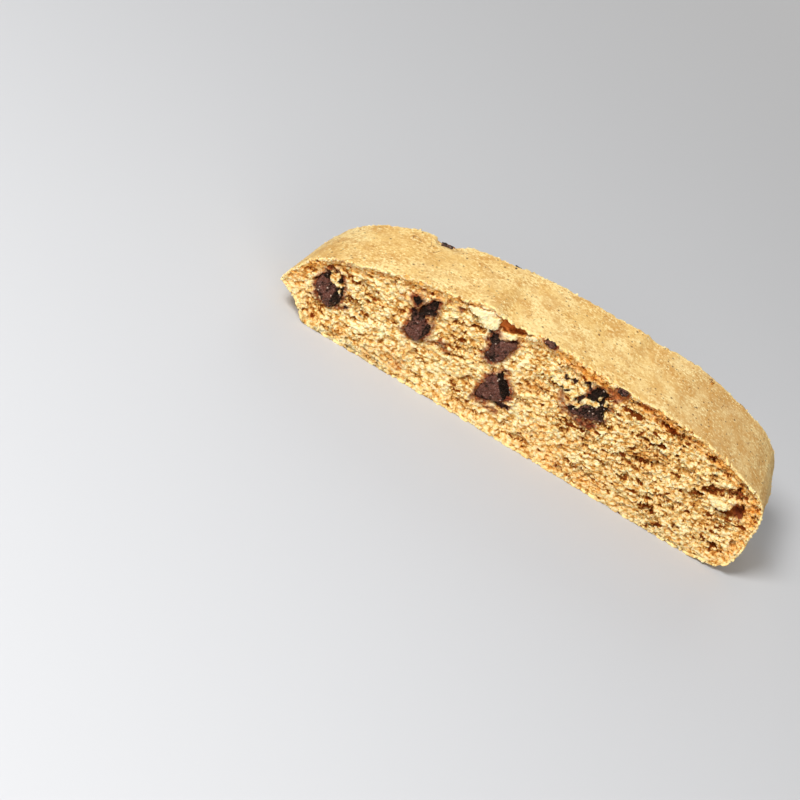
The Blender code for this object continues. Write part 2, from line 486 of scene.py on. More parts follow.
def smooth_step(value: np.ndarray, low: float, high: float) -> np.ndarray:
    """Rises smoothly from 0 at low to 1 at high, where high may be the smaller number."""
    share = np.clip((value - low) / (high - low), 0, 1)
    return share * share * (3 - 2 * share)


def outline_distance(places: np.ndarray, corners: Sequence[tuple[float, float]]) -> np.ndarray:
    """How far each place is from a line through corners, below 0 inside a closed one.

    Args:
        places: X and Z of each place.
        corners: X and Z of the corners. Three or more make a closed outline, two a stroke and one a spot.

    Returns:
        One distance for each place.
    """
    line = np.array(corners, float)
    nearest = np.full(len(places), np.inf)
    inside = np.zeros(len(places), bool)
    for a, b in zip(line, np.roll(line, -1, axis=0)):
        way = b - a
        share = np.clip(((places - a) @ way) / max(way @ way, 1e-12), 0, 1)
        nearest = np.minimum(nearest, np.linalg.norm(places - a - share[:, None] * way, axis=1))
        if len(line) > 2 and a[1] != b[1]:
            between = (places[:, 1] > a[1]) != (places[:, 1] > b[1])
            inside ^= between & (places[:, 0] < way[0] * (places[:, 1] - a[1]) / way[1] + a[0])
    return np.where(inside, -nearest, nearest)


def wave(place: Sequence[float], scale: float) -> float:
    """Smooth noise between about -1 and 1 at a place, with features of the given size."""
    return noise.noise(Vector(place) / scale)


class Ring:
    """A cut face's outline, looked up by its angle round a hub."""

    def __init__(self, points: np.ndarray, hub: np.ndarray, stretch: np.ndarray) -> None:
        """Sorts the outline's points round the hub.

        Args:
            points: X and Z of each point.
            hub: X and Z of the place that the outline is seen from.
            stretch: Length and height that make the outline about as high as it is long.
        """
        self.hub, self.stretch = hub, stretch
        squeezed = (points - hub) / stretch
        angle = np.arctan2(squeezed[:, 1], squeezed[:, 0])
        order = np.argsort(angle)
        self.angle, self.points = angle[order], points[order]

    def edge(self, angle: np.ndarray) -> np.ndarray:
        """X and Z of the outline at each angle."""
        return np.stack([np.interp(angle, self.angle, row, period=2 * math.pi) for row in self.points.T], -1)

    def angle_of(self, square: np.ndarray) -> np.ndarray:
        """The angle at which places on the edge of the square -1..1 meet the outline."""
        u, v = square.T
        return np.arctan2(v * np.sqrt(1 - u * u / 2), u * np.sqrt(1 - v * v / 2))

    def inside(self, u: np.ndarray, v: np.ndarray) -> np.ndarray:
        """X and Z of points of the square -1..1 once it fills the outline."""
        across, up = u * np.sqrt(1 - v * v / 2), v * np.sqrt(1 - u * u / 2)
        return self.hub + np.hypot(across, up)[..., None] * (self.edge(np.arctan2(up, across)) - self.hub)


class SliceForm:
    """The slice's outlines and solid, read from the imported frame."""

    HUB_HEIGHT = 0.014
    RING_TOLERANCE = 2e-6
    SOCKET_ROOM = 0.8 * MM
    FINE_STEPS = 20

    def __init__(self) -> None:
        """Reads both lips and the solid's surface."""
        points = node_points(BISCUIT)
        self.low, self.high = points.min(0), points.max(0)
        self.half = float(self.high[1])
        self.rings: dict[Side, Ring] = {}
        for side in Side:
            lip = points[np.abs(points[:, 1] - side.value * self.half) < self.RING_TOLERANCE][:, [0, 2]]
            lip = self.without_sockets(lip, side)
            middle = (lip[:, 0].min() + lip[:, 0].max()) / 2
            stretch = np.array([np.ptp(lip[:, 0]), np.ptp(lip[:, 1])])
            self.rings[side] = Ring(lip, np.array([middle, self.HUB_HEIGHT]), stretch)
        mesh = frame["nodes"][BISCUIT].data
        self.solid = BVHTree.FromPolygons(
            [v.co.copy() for v in mesh.vertices], [tuple(p.vertices) for p in mesh.polygons]
        )

    def without_sockets(self, lip: np.ndarray, side: Side) -> np.ndarray:
        """Leaves out the outline's points round the chips that are set in the lip.

        Args:
            lip: X and Z of the outline's points.
            side: The face that the outline belongs to.

        Returns:
            The other points.
        """
        for name in frame["nodes"]:
            low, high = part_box(name)
            if name.startswith(LIP_PREFIX) and side.value * (low.y + high.y) > 0:
                corner = np.array(low)[[0, 2]] - self.SOCKET_ROOM
                opposite = np.array(high)[[0, 2]] + self.SOCKET_ROOM
                lip = lip[~((lip > corner) & (lip < opposite)).all(1)]
        return lip

    def loft(self, angle: np.ndarray, share: float) -> np.ndarray:
        """The outline at a depth through the slice.

        Args:
            angle: Angles round the hub.
            share: -1 at the front face and 1 at the back.

        Returns:
            X and Z for each angle.
        """
        front, back = self.rings[Side.FRONT].edge(angle), self.rings[Side.BACK].edge(angle)
        return (1 - share) / 2 * front + (1 + share) / 2 * back

    def even_angles(self, count: int) -> np.ndarray:
        """Angles whose places on the slice's middle outline are evenly spaced.

        Args:
            count: How many angles.

        Returns:
            The angles round the hub.
        """
        fine = np.linspace(-math.pi, math.pi, self.FINE_STEPS * count, endpoint=False)
        ring = self.loft(fine, 0.0)
        steps = np.linalg.norm(np.diff(ring, axis=0, append=ring[:1]), axis=1)
        run = np.concatenate([[0.0], np.cumsum(steps)])
        return np.interp(np.arange(count) / count * run[-1], run[:-1], fine)

    def depth_behind_cut(self, side: Side, places: np.ndarray) -> np.ndarray:
        """How far the solid's surface lies behind the cut's plane.

        Args:
            side: The cut face.
            places: X and Z of each place.

        Returns:
            One depth for each place.
        """
        start = side.value * 2 * self.half
        way = Vector((0, -side.value, 0))
        depths = np.zeros(len(places))
        for i, (x, z) in enumerate(places):
            hit = self.solid.ray_cast(Vector((x, start, z)), way, 3 * self.half)[0]
            depths[i] = self.half if hit is None else self.half - side.value * hit.y
        return depths


def linear(red: int, green: int, blue: int) -> tuple[float, float, float, float]:
    """A colour given as it looks on screen, 0 to 255, in the numbers that a shader takes."""
    rows = [c / 255 for c in (red, green, blue)]
    return tuple(c / 12.92 if c <= 0.04045 else ((c + 0.055) / 1.055) ** 2.4 for c in rows) + (1.0,)


class Finish(Weave):
    """A material with a Principled shader, whose nodes read the piece's own coordinates."""

    def __init__(self, name: str, roughness: float, specular: float) -> None:
        """Makes the material.

        Args:
            name: The material's name.
            roughness: The shader's roughness where nothing is linked to it.
            specular: The shader's specular level.
        """
        self.material = bpy.data.materials.new(name)
        self.material.use_nodes = True
        super().__init__(self.material.node_tree)
        self.shader = self.tree.nodes["Principled BSDF"]
        self.shader.inputs["Roughness"].default_value = roughness
        self.shader.inputs["Specular IOR Level"].default_value = specular
        self.place = self.node("ShaderNodeTexCoord").outputs["Object"]

    def mark(self, name: str) -> Any:
        """A number that the mesh holds under a name."""
        return self.node("ShaderNodeAttribute", {"attribute_name": name}).outputs["Fac"]

    def mix(self, share: Any, first: Any, second: Any, blend: str = "MIX") -> Any:
        """Mixes two colours.

        Args:
            share: How much of the second colour shows.
            first: Colour or socket.
            second: Colour or socket.
            blend: Blender's name of the way of mixing.

        Returns:
            The mixed colour's socket.
        """
        made = self.node("ShaderNodeMix", {"data_type": "RGBA", "blend_type": blend})
        self.feed(free_socket(made.inputs, "Factor"), share)
        self.feed(free_socket(made.inputs, "A"), first)
        self.feed(free_socket(made.inputs, "B"), second)
        return free_socket(made.outputs, "Result")

    def colour(self, value: Any) -> None:
        """Sets or links the base colour."""
        self.feed(self.shader.inputs["Base Color"], value)

    def roughness(self, value: Any) -> None:
        """Links the roughness."""
        self.feed(self.shader.inputs["Roughness"], value)

    def translucent(self, depth: float, reach: Sequence[float], share: float = 0.3) -> None:
        """Lets light glow through the surface.

        Args:
            depth: How deep the light goes, in metres.
            reach: How far red, green and blue go, as shares of the depth.
            share: Share of the light that goes in.
        """
        self.shader.inputs["Subsurface Weight"].default_value = share
        self.shader.inputs["Subsurface Radius"].default_value = reach
        self.shader.inputs["Subsurface Scale"].default_value = depth

    def bump(self, height: Any, distance: float, strength: float = 1.0) -> None:
        """Raises fine relief from a height.

        Args:
            height: Socket between 0 and 1.
            distance: Height in metres that 1 stands for.
            strength: Share of the relief that shows.
        """
        made = self.node("ShaderNodeBump", None, Height=height, Distance=distance, Strength=strength)
        self.feed(self.shader.inputs["Normal"], made.outputs[0])


@dataclass(frozen=True)
class CrumbFinish:
    """Porous baked crumb: pale grains, golden hollows and brown pores, whose colour darkens with depth as
    painted shade.
    """

    grain: tuple = linear(253, 236, 188)
    body: tuple = linear(242, 208, 140)
    hollow: tuple = linear(204, 148, 72)
    pore: tuple = linear(112, 48, 8)
    toasted: tuple = linear(248, 204, 140)
    stain: tuple = linear(156, 80, 48)
    scorch: tuple = linear(96, 38, 24)
    rust: tuple = linear(214, 124, 58)
    melt: tuple = linear(48, 26, 22)
    glow: tuple = (1.0, 0.6, 0.35)
    depth_of_glow: float = 0.5 * MM
    dry: float = 0.9
    melted_gloss: float = 0.45
    speckles: float = 1900.0
    patches: float = 110.0
    drifts: float = 800.0
    drift_reach: float = 1.1 * MM
    gaps: float = 1150.0
    spots: float = 520.0
    grit: float = 2600.0
    relief: float = 0.5 * MM

    def level(self, f: Finish, speckle: Any, gap: Any) -> Any:
        """How deep each place counts for its colour: its own depth, made uneven by fine noise. Deeper places
        and the edges of the grains get darker colours, which paints their shade.

        Args:
            f: The finish.
            speckle: Fine noise.
            gap: How near the edge of its grain each place is; the edges get painted shade.

        Returns:
            The level's socket.
        """
        uneven = f.product(f.centred(speckle), 1.15)
        uneven = f.total(uneven, f.product(f.centred(gap, 0.4), 0.75))
        return f.total(f.mark("depth"), f.product(uneven, f.ramp(f.mark("calm"), 0.25, 0.9, 0.45, 1.0)))

    def near_crust(self, f: Finish, patch: Any) -> Any:
        """How strongly the crumb is toasted beside the crust, in uneven spots and less near the base.

        Args:
            f: The finish.
            patch: Broad noise.

        Returns:
            The share's socket.
        """
        rim = f.mark("rim")
        spots = f.noise(f.place, self.spots, 2.0).outputs[0]
        return f.product(
            f.ramp(rim, 5.0, 2.2),
            f.ramp(rim, 0.15, 0.7, 0.3, 1.0),
            f.ramp(patch, 0.25, 0.6, 0.6, 1.0),
            f.ramp(f.part(f.place, 2), 4 * MM, 13 * MM, 0.3, 1.0),
            f.ramp(f.mark("calm"), 0.5, 0.9),
            f.ramp(spots, 0.36, 0.6, 0.35, 1.0),
        )

    def make(self) -> bpy.types.Material:
        """Builds the material.

        Returns:
            The material, which reads depth, rim, calm, stain, rust and melt from the mesh.
        """
        f = Finish("crumb_finish", self.dry, 0.1)
        f.translucent(self.depth_of_glow, self.glow)
        stain, melt = f.mark("stain"), f.mark("melt")
        speckle = f.noise(f.place, self.speckles, 3.0, 0.65).outputs[0]
        patch = f.noise(f.place, self.patches, 2.0).outputs[0]
        drift = f.vector("SUBTRACT", f.noise(f.place, self.drifts, 2.0).outputs["Color"], MIDDLE_GREY)
        long_grains = f.vector("MULTIPLY", f.place, (0.75, 0.9, 1.0))
        bent = f.vector("ADD", long_grains, f.vector("SCALE", drift, self.drift_reach))
        gap = f.ramp(f.cells(bent, self.gaps).outputs["Distance"], 0.3, 0.75)
        level = self.level(f, speckle, gap)
        # The colour darkens from grain through body and hollow to pore as the level deepens: painted shade in
        # the hollows, the pores and between the grains.
        colour = f.mix(f.ramp(level, 0.05, 0.65), self.grain, self.body)
        colour = f.mix(f.ramp(level, 0.6, 1.15), colour, self.hollow)
        colour = f.mix(f.ramp(level, 1.1, 1.7), colour, self.pore)
        for share in (self.near_crust(f, patch), f.ramp(patch, 0.5, 0.75, 0.0, 0.5)):
            colour = f.mix(share, colour, f.mix(1.0, colour, self.toasted, "MULTIPLY"))
        deeper = f.mix(f.ramp(speckle, 0.42, 0.62), self.scorch, self.stain)
        colour = f.mix(stain, colour, f.mix(f.ramp(stain, 0.45, 0.9), self.stain, deeper))
        colour = f.mix(f.mark("rust"), colour, self.rust)
        f.colour(f.mix(melt, colour, self.melt))
        f.roughness(f.maths("SUBTRACT", self.dry, f.product(melt, self.melted_gloss)))
        grit = f.noise(f.place, self.grit, 4.0, 0.7).outputs[0]
        f.bump(f.maths("SUBTRACT", f.product(grit, 0.5), f.product(gap, 0.25)), self.relief, 0.8)
        return f.material


@dataclass(frozen=True)
class CrustFinish:
    """Thin baked crust: golden tan, mottled, with dark specks, hair cracks and a pale lip. It darkens towards
    the right end as painted shade, and the lip's pale colour is partly a painted highlight.
    """

    tan: tuple = linear(232, 192, 116)
    pale: tuple = linear(244, 215, 148)
    bright: tuple = linear(255, 236, 176)
    golden: tuple = linear(204, 150, 74)
    painted_shade_and_browning: tuple = linear(208, 165, 106)
    edge: tuple = linear(255, 230, 160)
    brown: tuple = linear(120, 70, 34)
    speck: tuple = linear(96, 56, 26)
    clouds: float = 60.0
    mottles: float = 300.0
    fine_grain: float = 1500.0
    busy_places: float = 140.0
    blotches: float = 190.0
    lines: float = 130.0
    line_places: float = 90.0
    lip_noise: float = 700.0
    specks: Sequence[tuple[float, float, float]] = ((420.0, 0.5, 0.2), (800.0, 0.66, 0.3))
    relief: float = 0.4 * MM

    def hair_cracks(self, f: Finish) -> Any:
        """Where a few hair-thin cracks run, along the middle level of a broad noise.

        Args:
            f: The finish.

        Returns:
            The share's socket.
        """
        line = f.noise(f.place, self.lines, 1.0).outputs[0]
        thin = f.ramp(f.maths("ABSOLUTE", f.centred(line)), 0.006, 0.002)
        return f.product(thin, f.ramp(f.noise(f.place, self.line_places, 1.0).outputs[0], 0.66, 0.7))

    def dots(self, f: Finish, scale: float, rarity: float, reach: float) -> Any:
        """Small round specks, none of them in a share of the cells.

        Args:
            f: The finish.
            scale: Cells a metre.
            rarity: Share of the cells that have no speck.
            reach: Radius of a speck, as a share of its cell.

        Returns:
            The socket of the specks' strength.
        """
        cells = f.cells(f.place, scale)
        tint = f.node("ShaderNodeSeparateColor", None, Color=cells.outputs["Color"]).outputs
        shown = f.maths("GREATER_THAN", tint[0], rarity)
        dot = f.ramp(cells.outputs["Distance"], reach, 0.04)
        return f.product(shown, dot, f.ramp(tint[1], 0.1, 0.8, 0.5, 1.0))

    def make(self) -> bpy.types.Material:
        """Builds the material.

        Returns:
            The material, which reads lip, base and crack from the mesh.
        """
        f = Finish("crust_finish", 0.78, 0.3)
        cloud = f.noise(f.place, self.clouds, 3.0, 0.6).outputs[0]
        streak = f.vector("MULTIPLY", f.place, (0.8, 0.95, 1.0))
        mottle = f.noise(streak, self.mottles, 4.0, 0.75).outputs[0]
        fine = f.noise(streak, self.fine_grain, 3.0, 0.75).outputs[0]
        busy = f.ramp(f.noise(f.place, self.busy_places, 2.0).outputs[0], 0.35, 0.65, 0.5, 1.0)
        along = f.part(f.place, 0)
        # Painted shade: darker towards the right end, where the light falls off, with some browning in broad
        # clouds.
        painted_shade_and_browning = f.product(f.ramp(along, 0.0, 45 * MM, 0.0, 0.9), f.ramp(along, 50 * MM, 68 * MM, 1.0, 0.6))
        painted_shade_and_browning = f.total(painted_shade_and_browning, f.ramp(cloud, 0.5, 0.3, 0.0, 0.5))
        blotch = f.noise(f.place, self.blotches, 2.0).outputs[0]
        colour = f.mix(f.ramp(cloud, 0.4, 0.6), self.tan, self.pale)
        colour = f.mix(f.ramp(painted_shade_and_browning, 0.0, 1.4, 0.0, 0.85), colour, self.painted_shade_and_browning)
        colour = f.mix(f.ramp(blotch, 0.5, 0.66, 0.0, 0.55), colour, self.golden)
        colour = f.mix(f.ramp(blotch, 0.46, 0.32, 0.0, 0.25), colour, self.bright)
        colour = f.mix(f.product(f.ramp(mottle, 0.48, 0.66, 0.0, 0.8), busy), colour, self.golden)
        colour = f.mix(f.product(f.ramp(fine, 0.5, 0.64), busy), colour, self.golden)
        colour = f.mix(f.product(f.ramp(fine, 0.48, 0.34), busy), colour, self.bright)
        colour = f.mix(f.product(self.hair_cracks(f), 0.7), colour, self.brown)
        for scale, rarity, reach in self.specks:
            colour = f.mix(self.dots(f, scale, rarity, reach), colour, self.speck)
        colour = f.mix(f.product(f.mark("base"), 0.35), colour, self.golden)
        colour = f.mix(f.product(f.mark("crack"), 0.85), colour, self.brown)
        # The lip is pale: partly the lighter cut of the crust, partly a painted highlight where the cut edge
        # catches the light.
        uneven = f.ramp(f.noise(f.place, self.lip_noise, 2.0).outputs[0], 0.42, 0.6, 1.0, 0.15)
        f.colour(f.mix(f.product(f.mark("lip"), uneven), colour, self.edge))
        f.roughness(f.ramp(mottle, 0.3, 0.7, 0.86, 0.68))
        f.bump(f.total(f.product(mottle, 0.6), f.product(fine, 0.4)), self.relief, 0.9)
        return f.material


@dataclass(frozen=True)
class ChocolateFinish:
    """Dark chocolate: near black on some planes and a dull purple-brown bloom on others, the dark planes
    partly painted shade, with a dusting of crumb and painted glints.
    """

    dark: tuple = linear(10, 5, 4)
    mid: tuple = linear(104, 64, 54)
    bloom: tuple = linear(146, 108, 98)
    dust_and_glints: tuple = linear(224, 200, 180)
    sheen: tuple = linear(255, 214, 186)
    clouds: float = 800.0
    fine_grain: float = 1500.0
    dust_and_glint_cells: float = 1100.0
    contrast: float = 3.8
    relief: float = 1.4 * MM

    def make(self) -> bpy.types.Material:
        """Builds the material.

        Returns:
            The material, which reads tone from the mesh.
        """
        f = Finish("chocolate_finish", 0.4, 0.32)
        f.shader.inputs["Specular Tint"].default_value = self.sheen
        tone = f.mark("tone")
        cloud = f.noise(f.place, self.clouds, 3.0, 0.65).outputs[0]
        fine = f.noise(f.place, self.fine_grain, 4.0, 0.7).outputs[0]
        # tone sets the bloom: the dark tones are partly the chocolate's own and partly painted shade on
        # planes turned from the light.
        level = f.total(tone, f.product(f.centred(cloud, 0.53), self.contrast))
        colour = f.mix(f.ramp(level, 0.1, 1.0), self.dark, self.mid)
        colour = f.mix(f.product(f.ramp(fine, 0.5, 0.66, 0.0, 0.85), tone), colour, self.bloom)
        # Small pale specks: partly a dusting of crumb, partly painted glints of the light.
        cells = f.cells(f.place, self.dust_and_glint_cells)
        chance = f.node("ShaderNodeSeparateColor", None, Color=cells.outputs["Color"]).outputs[0]
        crumb = f.ramp(cells.outputs["Distance"], 0.32, 0.14)
        dust_and_glints = f.product(f.maths("GREATER_THAN", chance, 0.76), crumb, 0.8)
        f.colour(f.mix(dust_and_glints, colour, self.dust_and_glints))
        f.roughness(f.ramp(fine, 0.4, 0.6, 0.12, 0.5))
        f.bump(f.total(f.product(fine, 0.5), f.product(cloud, 0.5)), self.relief)
        return f.material


@dataclass(frozen=True)
class FloorFinish:
    """A plain pale floor."""

    shade: tuple = linear(206, 208, 212)
    darker: tuple = linear(198, 200, 205)
    clouds: float = 4.0

    def make(self) -> bpy.types.Material:
        """Builds the material.

        Returns:
            The material.
        """
        f = Finish("floor_finish", 0.9, 0.2)
        tone = f.noise(f.place, self.clouds).outputs[0]
        f.colour(f.mix(f.ramp(tone, 0.3, 0.7, 0.0, 0.15), self.shade, self.darker))
        return f.material


@dataclass(frozen=True)
class Patch:
    """A spot, stroke or outlined place of a cut face, in millimetres."""

    corners: Sequence[tuple[float, float]]
    width: float = 0.0
    amount: float = 1.0
    soft: float = 0.4

    def share(self, places: np.ndarray) -> np.ndarray:
        """How much of the patch lies over each place, up to its amount.

        Args:
            places: X and Z in millimetres.

        Returns:
            One share for each place.
        """
        away = outline_distance(places, self.corners) - self.width / 2
        return self.amount * smooth_step(away, self.soft, -self.soft)


def fray(x: float, z: float, seed: int) -> float:
    """One coordinate's wander at a place in millimetres, coarse and fine."""
    return 0.45 * wave((x, z, seed), 1.1) + 0.3 * wave((x, z, seed + 1), 0.45)


def frayed(places: np.ndarray) -> np.ndarray:
    """Places in millimetres moved a little by noise, so that a patch laid over them has a ragged edge."""
    return np.array([(x + fray(x, z, 1), z + fray(x, z, 3)) for x, z in places])


def most(patches: Iterable[Patch], places: np.ndarray) -> np.ndarray:
    """The largest share that any of the patches has over each place.

    Args:
        patches: The patches.
        places: X and Z in millimetres.

    Returns:
        One share for each place.
    """
    result = np.zeros(len(places))
    for patch in patches:
        result = np.maximum(result, patch.share(places))
    return result


@dataclass(frozen=True)
class FaceMarks:
    """What a cut face shows beyond its even crumb.

    The amount of a hollow is its depth in millimetres, and that of any other patch a share of 1.
    """

    hollows: Sequence[Patch] = ()
    rises: Sequence[Patch] = ()
    covers: Sequence[Patch] = ()
    stains: Sequence[Patch] = ()
    rusts: Sequence[Patch] = ()
    melts: Sequence[Patch] = ()


FRONT_MARKS = FaceMarks(
    hollows=(
        Patch(
            ((-21.2, 32.6), (-20.5, 30.2), (-19.9, 28.0), (-17.9, 27.9), (-15.6, 29.0), (-13.2, 30.1),
             (-11.6, 32.0), (-14.4, 33.0)),
            0.2, 1.7, 0.2,
        ),
        Patch(((-31.2, 29.0), (-27.9, 30.3), (-25.6, 30.9), (-27.9, 30.3)), 0.6, 1.6, 0.3),
        Patch(((-25.3, 31.0), (-23.4, 31.6), (-21.0, 31.0), (-23.4, 31.6)), 0.5, 1.5, 0.3),
        Patch(((-25.1, 24.4), (-22.8, 24.8)), 0.7, 1.4),
        Patch(((28.3, 22.1), (30.6, 22.2)), 0.6, 1.5),
        Patch(((30.6, 22.2), (32.5, 23.3)), 0.9, 2.2),
        Patch(((49.5, 20.4), (52.4, 20.7)), 1.0, 1.6),
        Patch(((46.5, 16.9), (49.0, 17.0)), 0.9, 1.6),
        Patch(((54.4, 15.7), (56.6, 16.0)), 0.9, 2.0),
        Patch(
            ((56.0, 15.6), (57.0, 17.2), (57.8, 18.6), (58.0, 20.0), (59.6, 20.4), (61.0, 18.8),
             (61.4, 16.2), (58.8, 15.6)),
            0.0, 2.2, 0.3,
        ),
        Patch(((50.5, 20.8), (54.6, 21.4), (58.0, 21.6), (59.4, 23.2), (57.0, 23.6)), 0.4, 0.8, 0.6),
        Patch(((48.2, 18.9), (50.4, 18.9), (51.6, 19.6)), 0.8, 1.6, 0.3),
        Patch(((48.0, 23.9), (49.0, 23.6)), 0.8, 1.3),
        Patch(((32.2, 23.5), (33.4, 23.2)), 0.6, 1.6),
        Patch(((20.6, 30.6), (23.8, 30.7)), 1.1, 1.5),
        Patch(((22.4, 21.9), (24.4, 22.0)), 0.4, 0.9),
        Patch(((-22.4, 18.8), (-19.4, 19.3)), 0.4, 0.9),
        Patch(((-33.6, 13.2), (-31.0, 14.4)), 0.4, 0.8),
        Patch(((-26.5, 16.9), (-24.5, 16.6)), 0.6, 1.0),
    ),
    rises=(
        Patch(((-30.3, 29.2), (-25.0, 32.2), (-20.6, 31.6), (-18.6, 28.6), (-22.2, 26.3)), 0.0, 1.0, 0.8),
        Patch(((-18.9, 27.0), (-15.8, 29.0), (-14.6, 27.8), (-17.5, 26.2)), 0.6, 1.0),
        Patch(((-15.0, 29.0), (-10.9, 31.0)), 1.4, 1.0, 0.5),
        Patch(((52.0, 18.2), (55.5, 17.2)), 2.0, 0.9, 0.7),
    ),
    covers=(
        Patch(((-60.8, 15.5),), 3.0),
        Patch(((-59.0, 14.2),), 2.2),
        Patch(((-62.2, 16.4),), 1.6),
        Patch(((-58.0, 12.8),), 1.1),
        Patch(((-12.9, 16.0),), 0.8),
        Patch(((-11.4, 17.4),), 0.8),
        Patch(((8.1, 20.8), (9.0, 21.9)), 1.9),
        Patch(((9.4, 23.2), (12.0, 23.8)), 2.1),
        Patch(((14.4, 26.1), (14.7, 24.7)), 2.2),
        Patch(((12.2, 25.6),), 1.6),
        Patch(((15.9, 22.6),), 2.0),
    ),
    stains=(
        Patch(((-62.5, 17.8), (-58.0, 16.3), (-56.2, 12.0), (-58.0, 16.3)), 0.9, 0.9, 0.6),
        Patch(((-65.0, 12.1),), 0.8, 0.7),
        Patch(((-63.5, 20.4), (-61.6, 21.6)), 0.9, 0.75),
        Patch(((-59.6, 20.9),), 1.6, 0.6),
        Patch(((-57.5, 8.2), (-54.3, 9.4)), 1.4, 0.8, 0.6),
        Patch(((-33.3, 13.1), (-28.3, 16.0)), 1.2, 0.75, 0.8),
        Patch(
            ((-30.7, 14.8), (-29.7, 16.2), (-28.3, 16.0), (-27.6, 14.7), (-25.5, 14.0), (-27.0, 13.7)),
            0.4, 0.9, 0.7,
        ),
        Patch(((-40.6, 26.3),), 1.2, 0.7),
        Patch(((-39.9, 13.0),), 1.4, 0.8, 0.6),
        Patch(((-30.7, 27.3), (-29.8, 26.2)), 1.0, 0.9),
        Patch(((-45.1, 21.3), (-43.0, 21.0)), 0.9, 0.5),
        Patch(((-33.7, 27.0),), 1.2, 0.7),
        Patch(((-18.4, 30.2), (-13.6, 31.8)), 3.0, 0.75, 0.8),
        Patch(((-14.6, 6.6), (-7.6, 6.2)), 1.6, 0.85, 0.6),
        Patch(
            ((-11.7, 8.8), (-9.9, 9.7), (-8.2, 10.0), (-5.1, 10.5), (-4.9, 8.9), (-6.6, 7.9),
             (-8.9, 8.1), (-10.7, 8.4)),
            0.3, 1.0, 0.4,
        ),
        Patch(((-6.6, 12.2),), 1.0, 0.6),
        Patch(
            ((7.6, 17.2), (10.1, 16.4), (12.7, 15.8), (15.6, 16.7), (16.2, 18.2), (14.5, 18.8),
             (12.6, 18.4), (9.8, 17.9)),
            0.4, 1.0, 0.5,
        ),
        Patch(((3.3, 21.0), (6.6, 17.0)), 1.8, 0.75, 0.8),
        Patch(
            ((11.4, 29.2), (13.5, 30.6), (15.0, 32.4), (17.8, 32.2), (17.6, 30.2), (16.4, 27.8),
             (15.6, 26.4), (14.2, 28.2)),
            0.5, 0.95, 0.6,
        ),
        Patch(((22.0, 31.0), (24.4, 31.4)), 1.6, 0.7, 0.6),
        Patch(((58.2, 19.2), (60.6, 16.4)), 2.2, 0.7, 0.6),
        # This stain paints shade over the shallow hollow above the big hole at the right end.
        Patch(((50.5, 21.0), (54.6, 21.6), (58.6, 22.6)), 1.4, 0.35, 0.8),
        Patch(((-34.9, 3.5),), 2.6, 0.3, 1.0),
    ),
    rusts=(
        Patch(
            ((-21.0, 32.6), (-20.3, 30.2), (-19.6, 28.4), (-17.8, 28.3), (-15.6, 29.4), (-13.2, 30.5),
             (-12.0, 32.0), (-14.4, 33.0)),
            0.0, 0.95, 0.4,
        ),
        Patch(((-31.2, 29.2), (-27.9, 30.5), (-25.6, 31.1), (-27.9, 30.5)), 0.5, 0.85, 0.4),
        Patch(((-25.3, 31.2), (-23.4, 31.8), (-21.0, 31.2), (-23.4, 31.8)), 0.5, 0.85, 0.4),
        Patch(((20.6, 30.8), (23.8, 30.9)), 1.3, 0.8, 0.5),
        Patch(((13.0, 29.6), (15.4, 30.6), (17.0, 30.0), (15.6, 28.2)), 0.6, 0.5, 0.8),
        Patch(((58.4, 16.4), (60.2, 19.0)), 1.6, 0.45, 0.6),
        Patch(((49.5, 20.5), (52.4, 20.8)), 0.8, 0.5, 0.6),
    ),
    melts=(
        Patch(((-54.3, 9.5),), 0.8, 0.9),
        Patch(((-50.1, 9.9),), 0.7, 1.0, 0.3),
        Patch(((-40.0, 19.6), (-38.0, 19.2)), 1.0, 1.0, 0.3),
        Patch(((-21.7, 26.7), (-19.7, 25.9)), 0.4, 0.9, 0.3),
        Patch(
            ((-11.4, 8.8), (-9.6, 9.5), (-8.0, 9.8), (-5.3, 10.2), (-5.2, 9.0), (-6.8, 8.2), (-10.6, 8.5)),
            0.2, 0.68, 0.4,
        ),
        Patch(((2.0, 25.7), (4.6, 26.3)), 0.7, 1.0, 0.3),
        Patch(((1.8, 22.5), (4.2, 23.0)), 0.7, 1.0, 0.3),
        Patch(((7.9, 24.2), (7.7, 22.0)), 0.9, 1.0, 0.3),
        Patch(((6.8, 27.7), (8.2, 27.0)), 0.9, 1.0, 0.3),
        Patch(((15.6, 30.6),), 0.8, 0.7, 0.3),
    ),
)
BACK_MARKS = FaceMarks(
    rises=(
        Patch(((26.0, 17.0), (31.0, 18.5)), 3.0, 0.8, 0.8),
        Patch(((-44.0, 19.0), (-40.0, 20.0)), 2.5, 0.8, 0.8),
    ),
    covers=(Patch(((47.5, 18.5),), 2.4), Patch(((24.0, 26.5),), 1.8), Patch(((-2.2, 15.0),), 1.8)),
    stains=(
        Patch(((44.0, 11.5), (49.0, 12.0)), 1.4, 0.8, 0.6),
        Patch(((20.0, 29.5),), 2.2, 0.8, 0.7),
        Patch(((-25.0, 20.0), (-19.5, 19.0)), 1.5, 0.7, 0.6),
        Patch(((-52.5, 8.5),), 2.0, 0.6, 0.8),
    ),
    melts=(Patch(((-42.0, 24.0), (-40.2, 24.9)), 0.7, 1.0, 0.3), Patch(((11.5, 20.5),), 0.8, 0.9, 0.3)),
)


@dataclass(frozen=True)
class CrumbRelief:
    """Sizes of the crumb's lumps and holes in millimetres, and its stretch along the slice."""

    lump: float = 0.95
    pore: float = 2.1
    small_pore: float = 0.78
    lump_depth: float = 0.7
    slit_depth: float = 1.6
    pore_depth: float = 1.3
    small_pore_depth: float = 0.5
    crag_depth: float = 0.9
    fine_depth: float = 0.6
    base_depth: float = 0.1
    highest: float = 0.05
    stretch: float = 0.56
    sideways: float = 0.9
    seed: int = 3


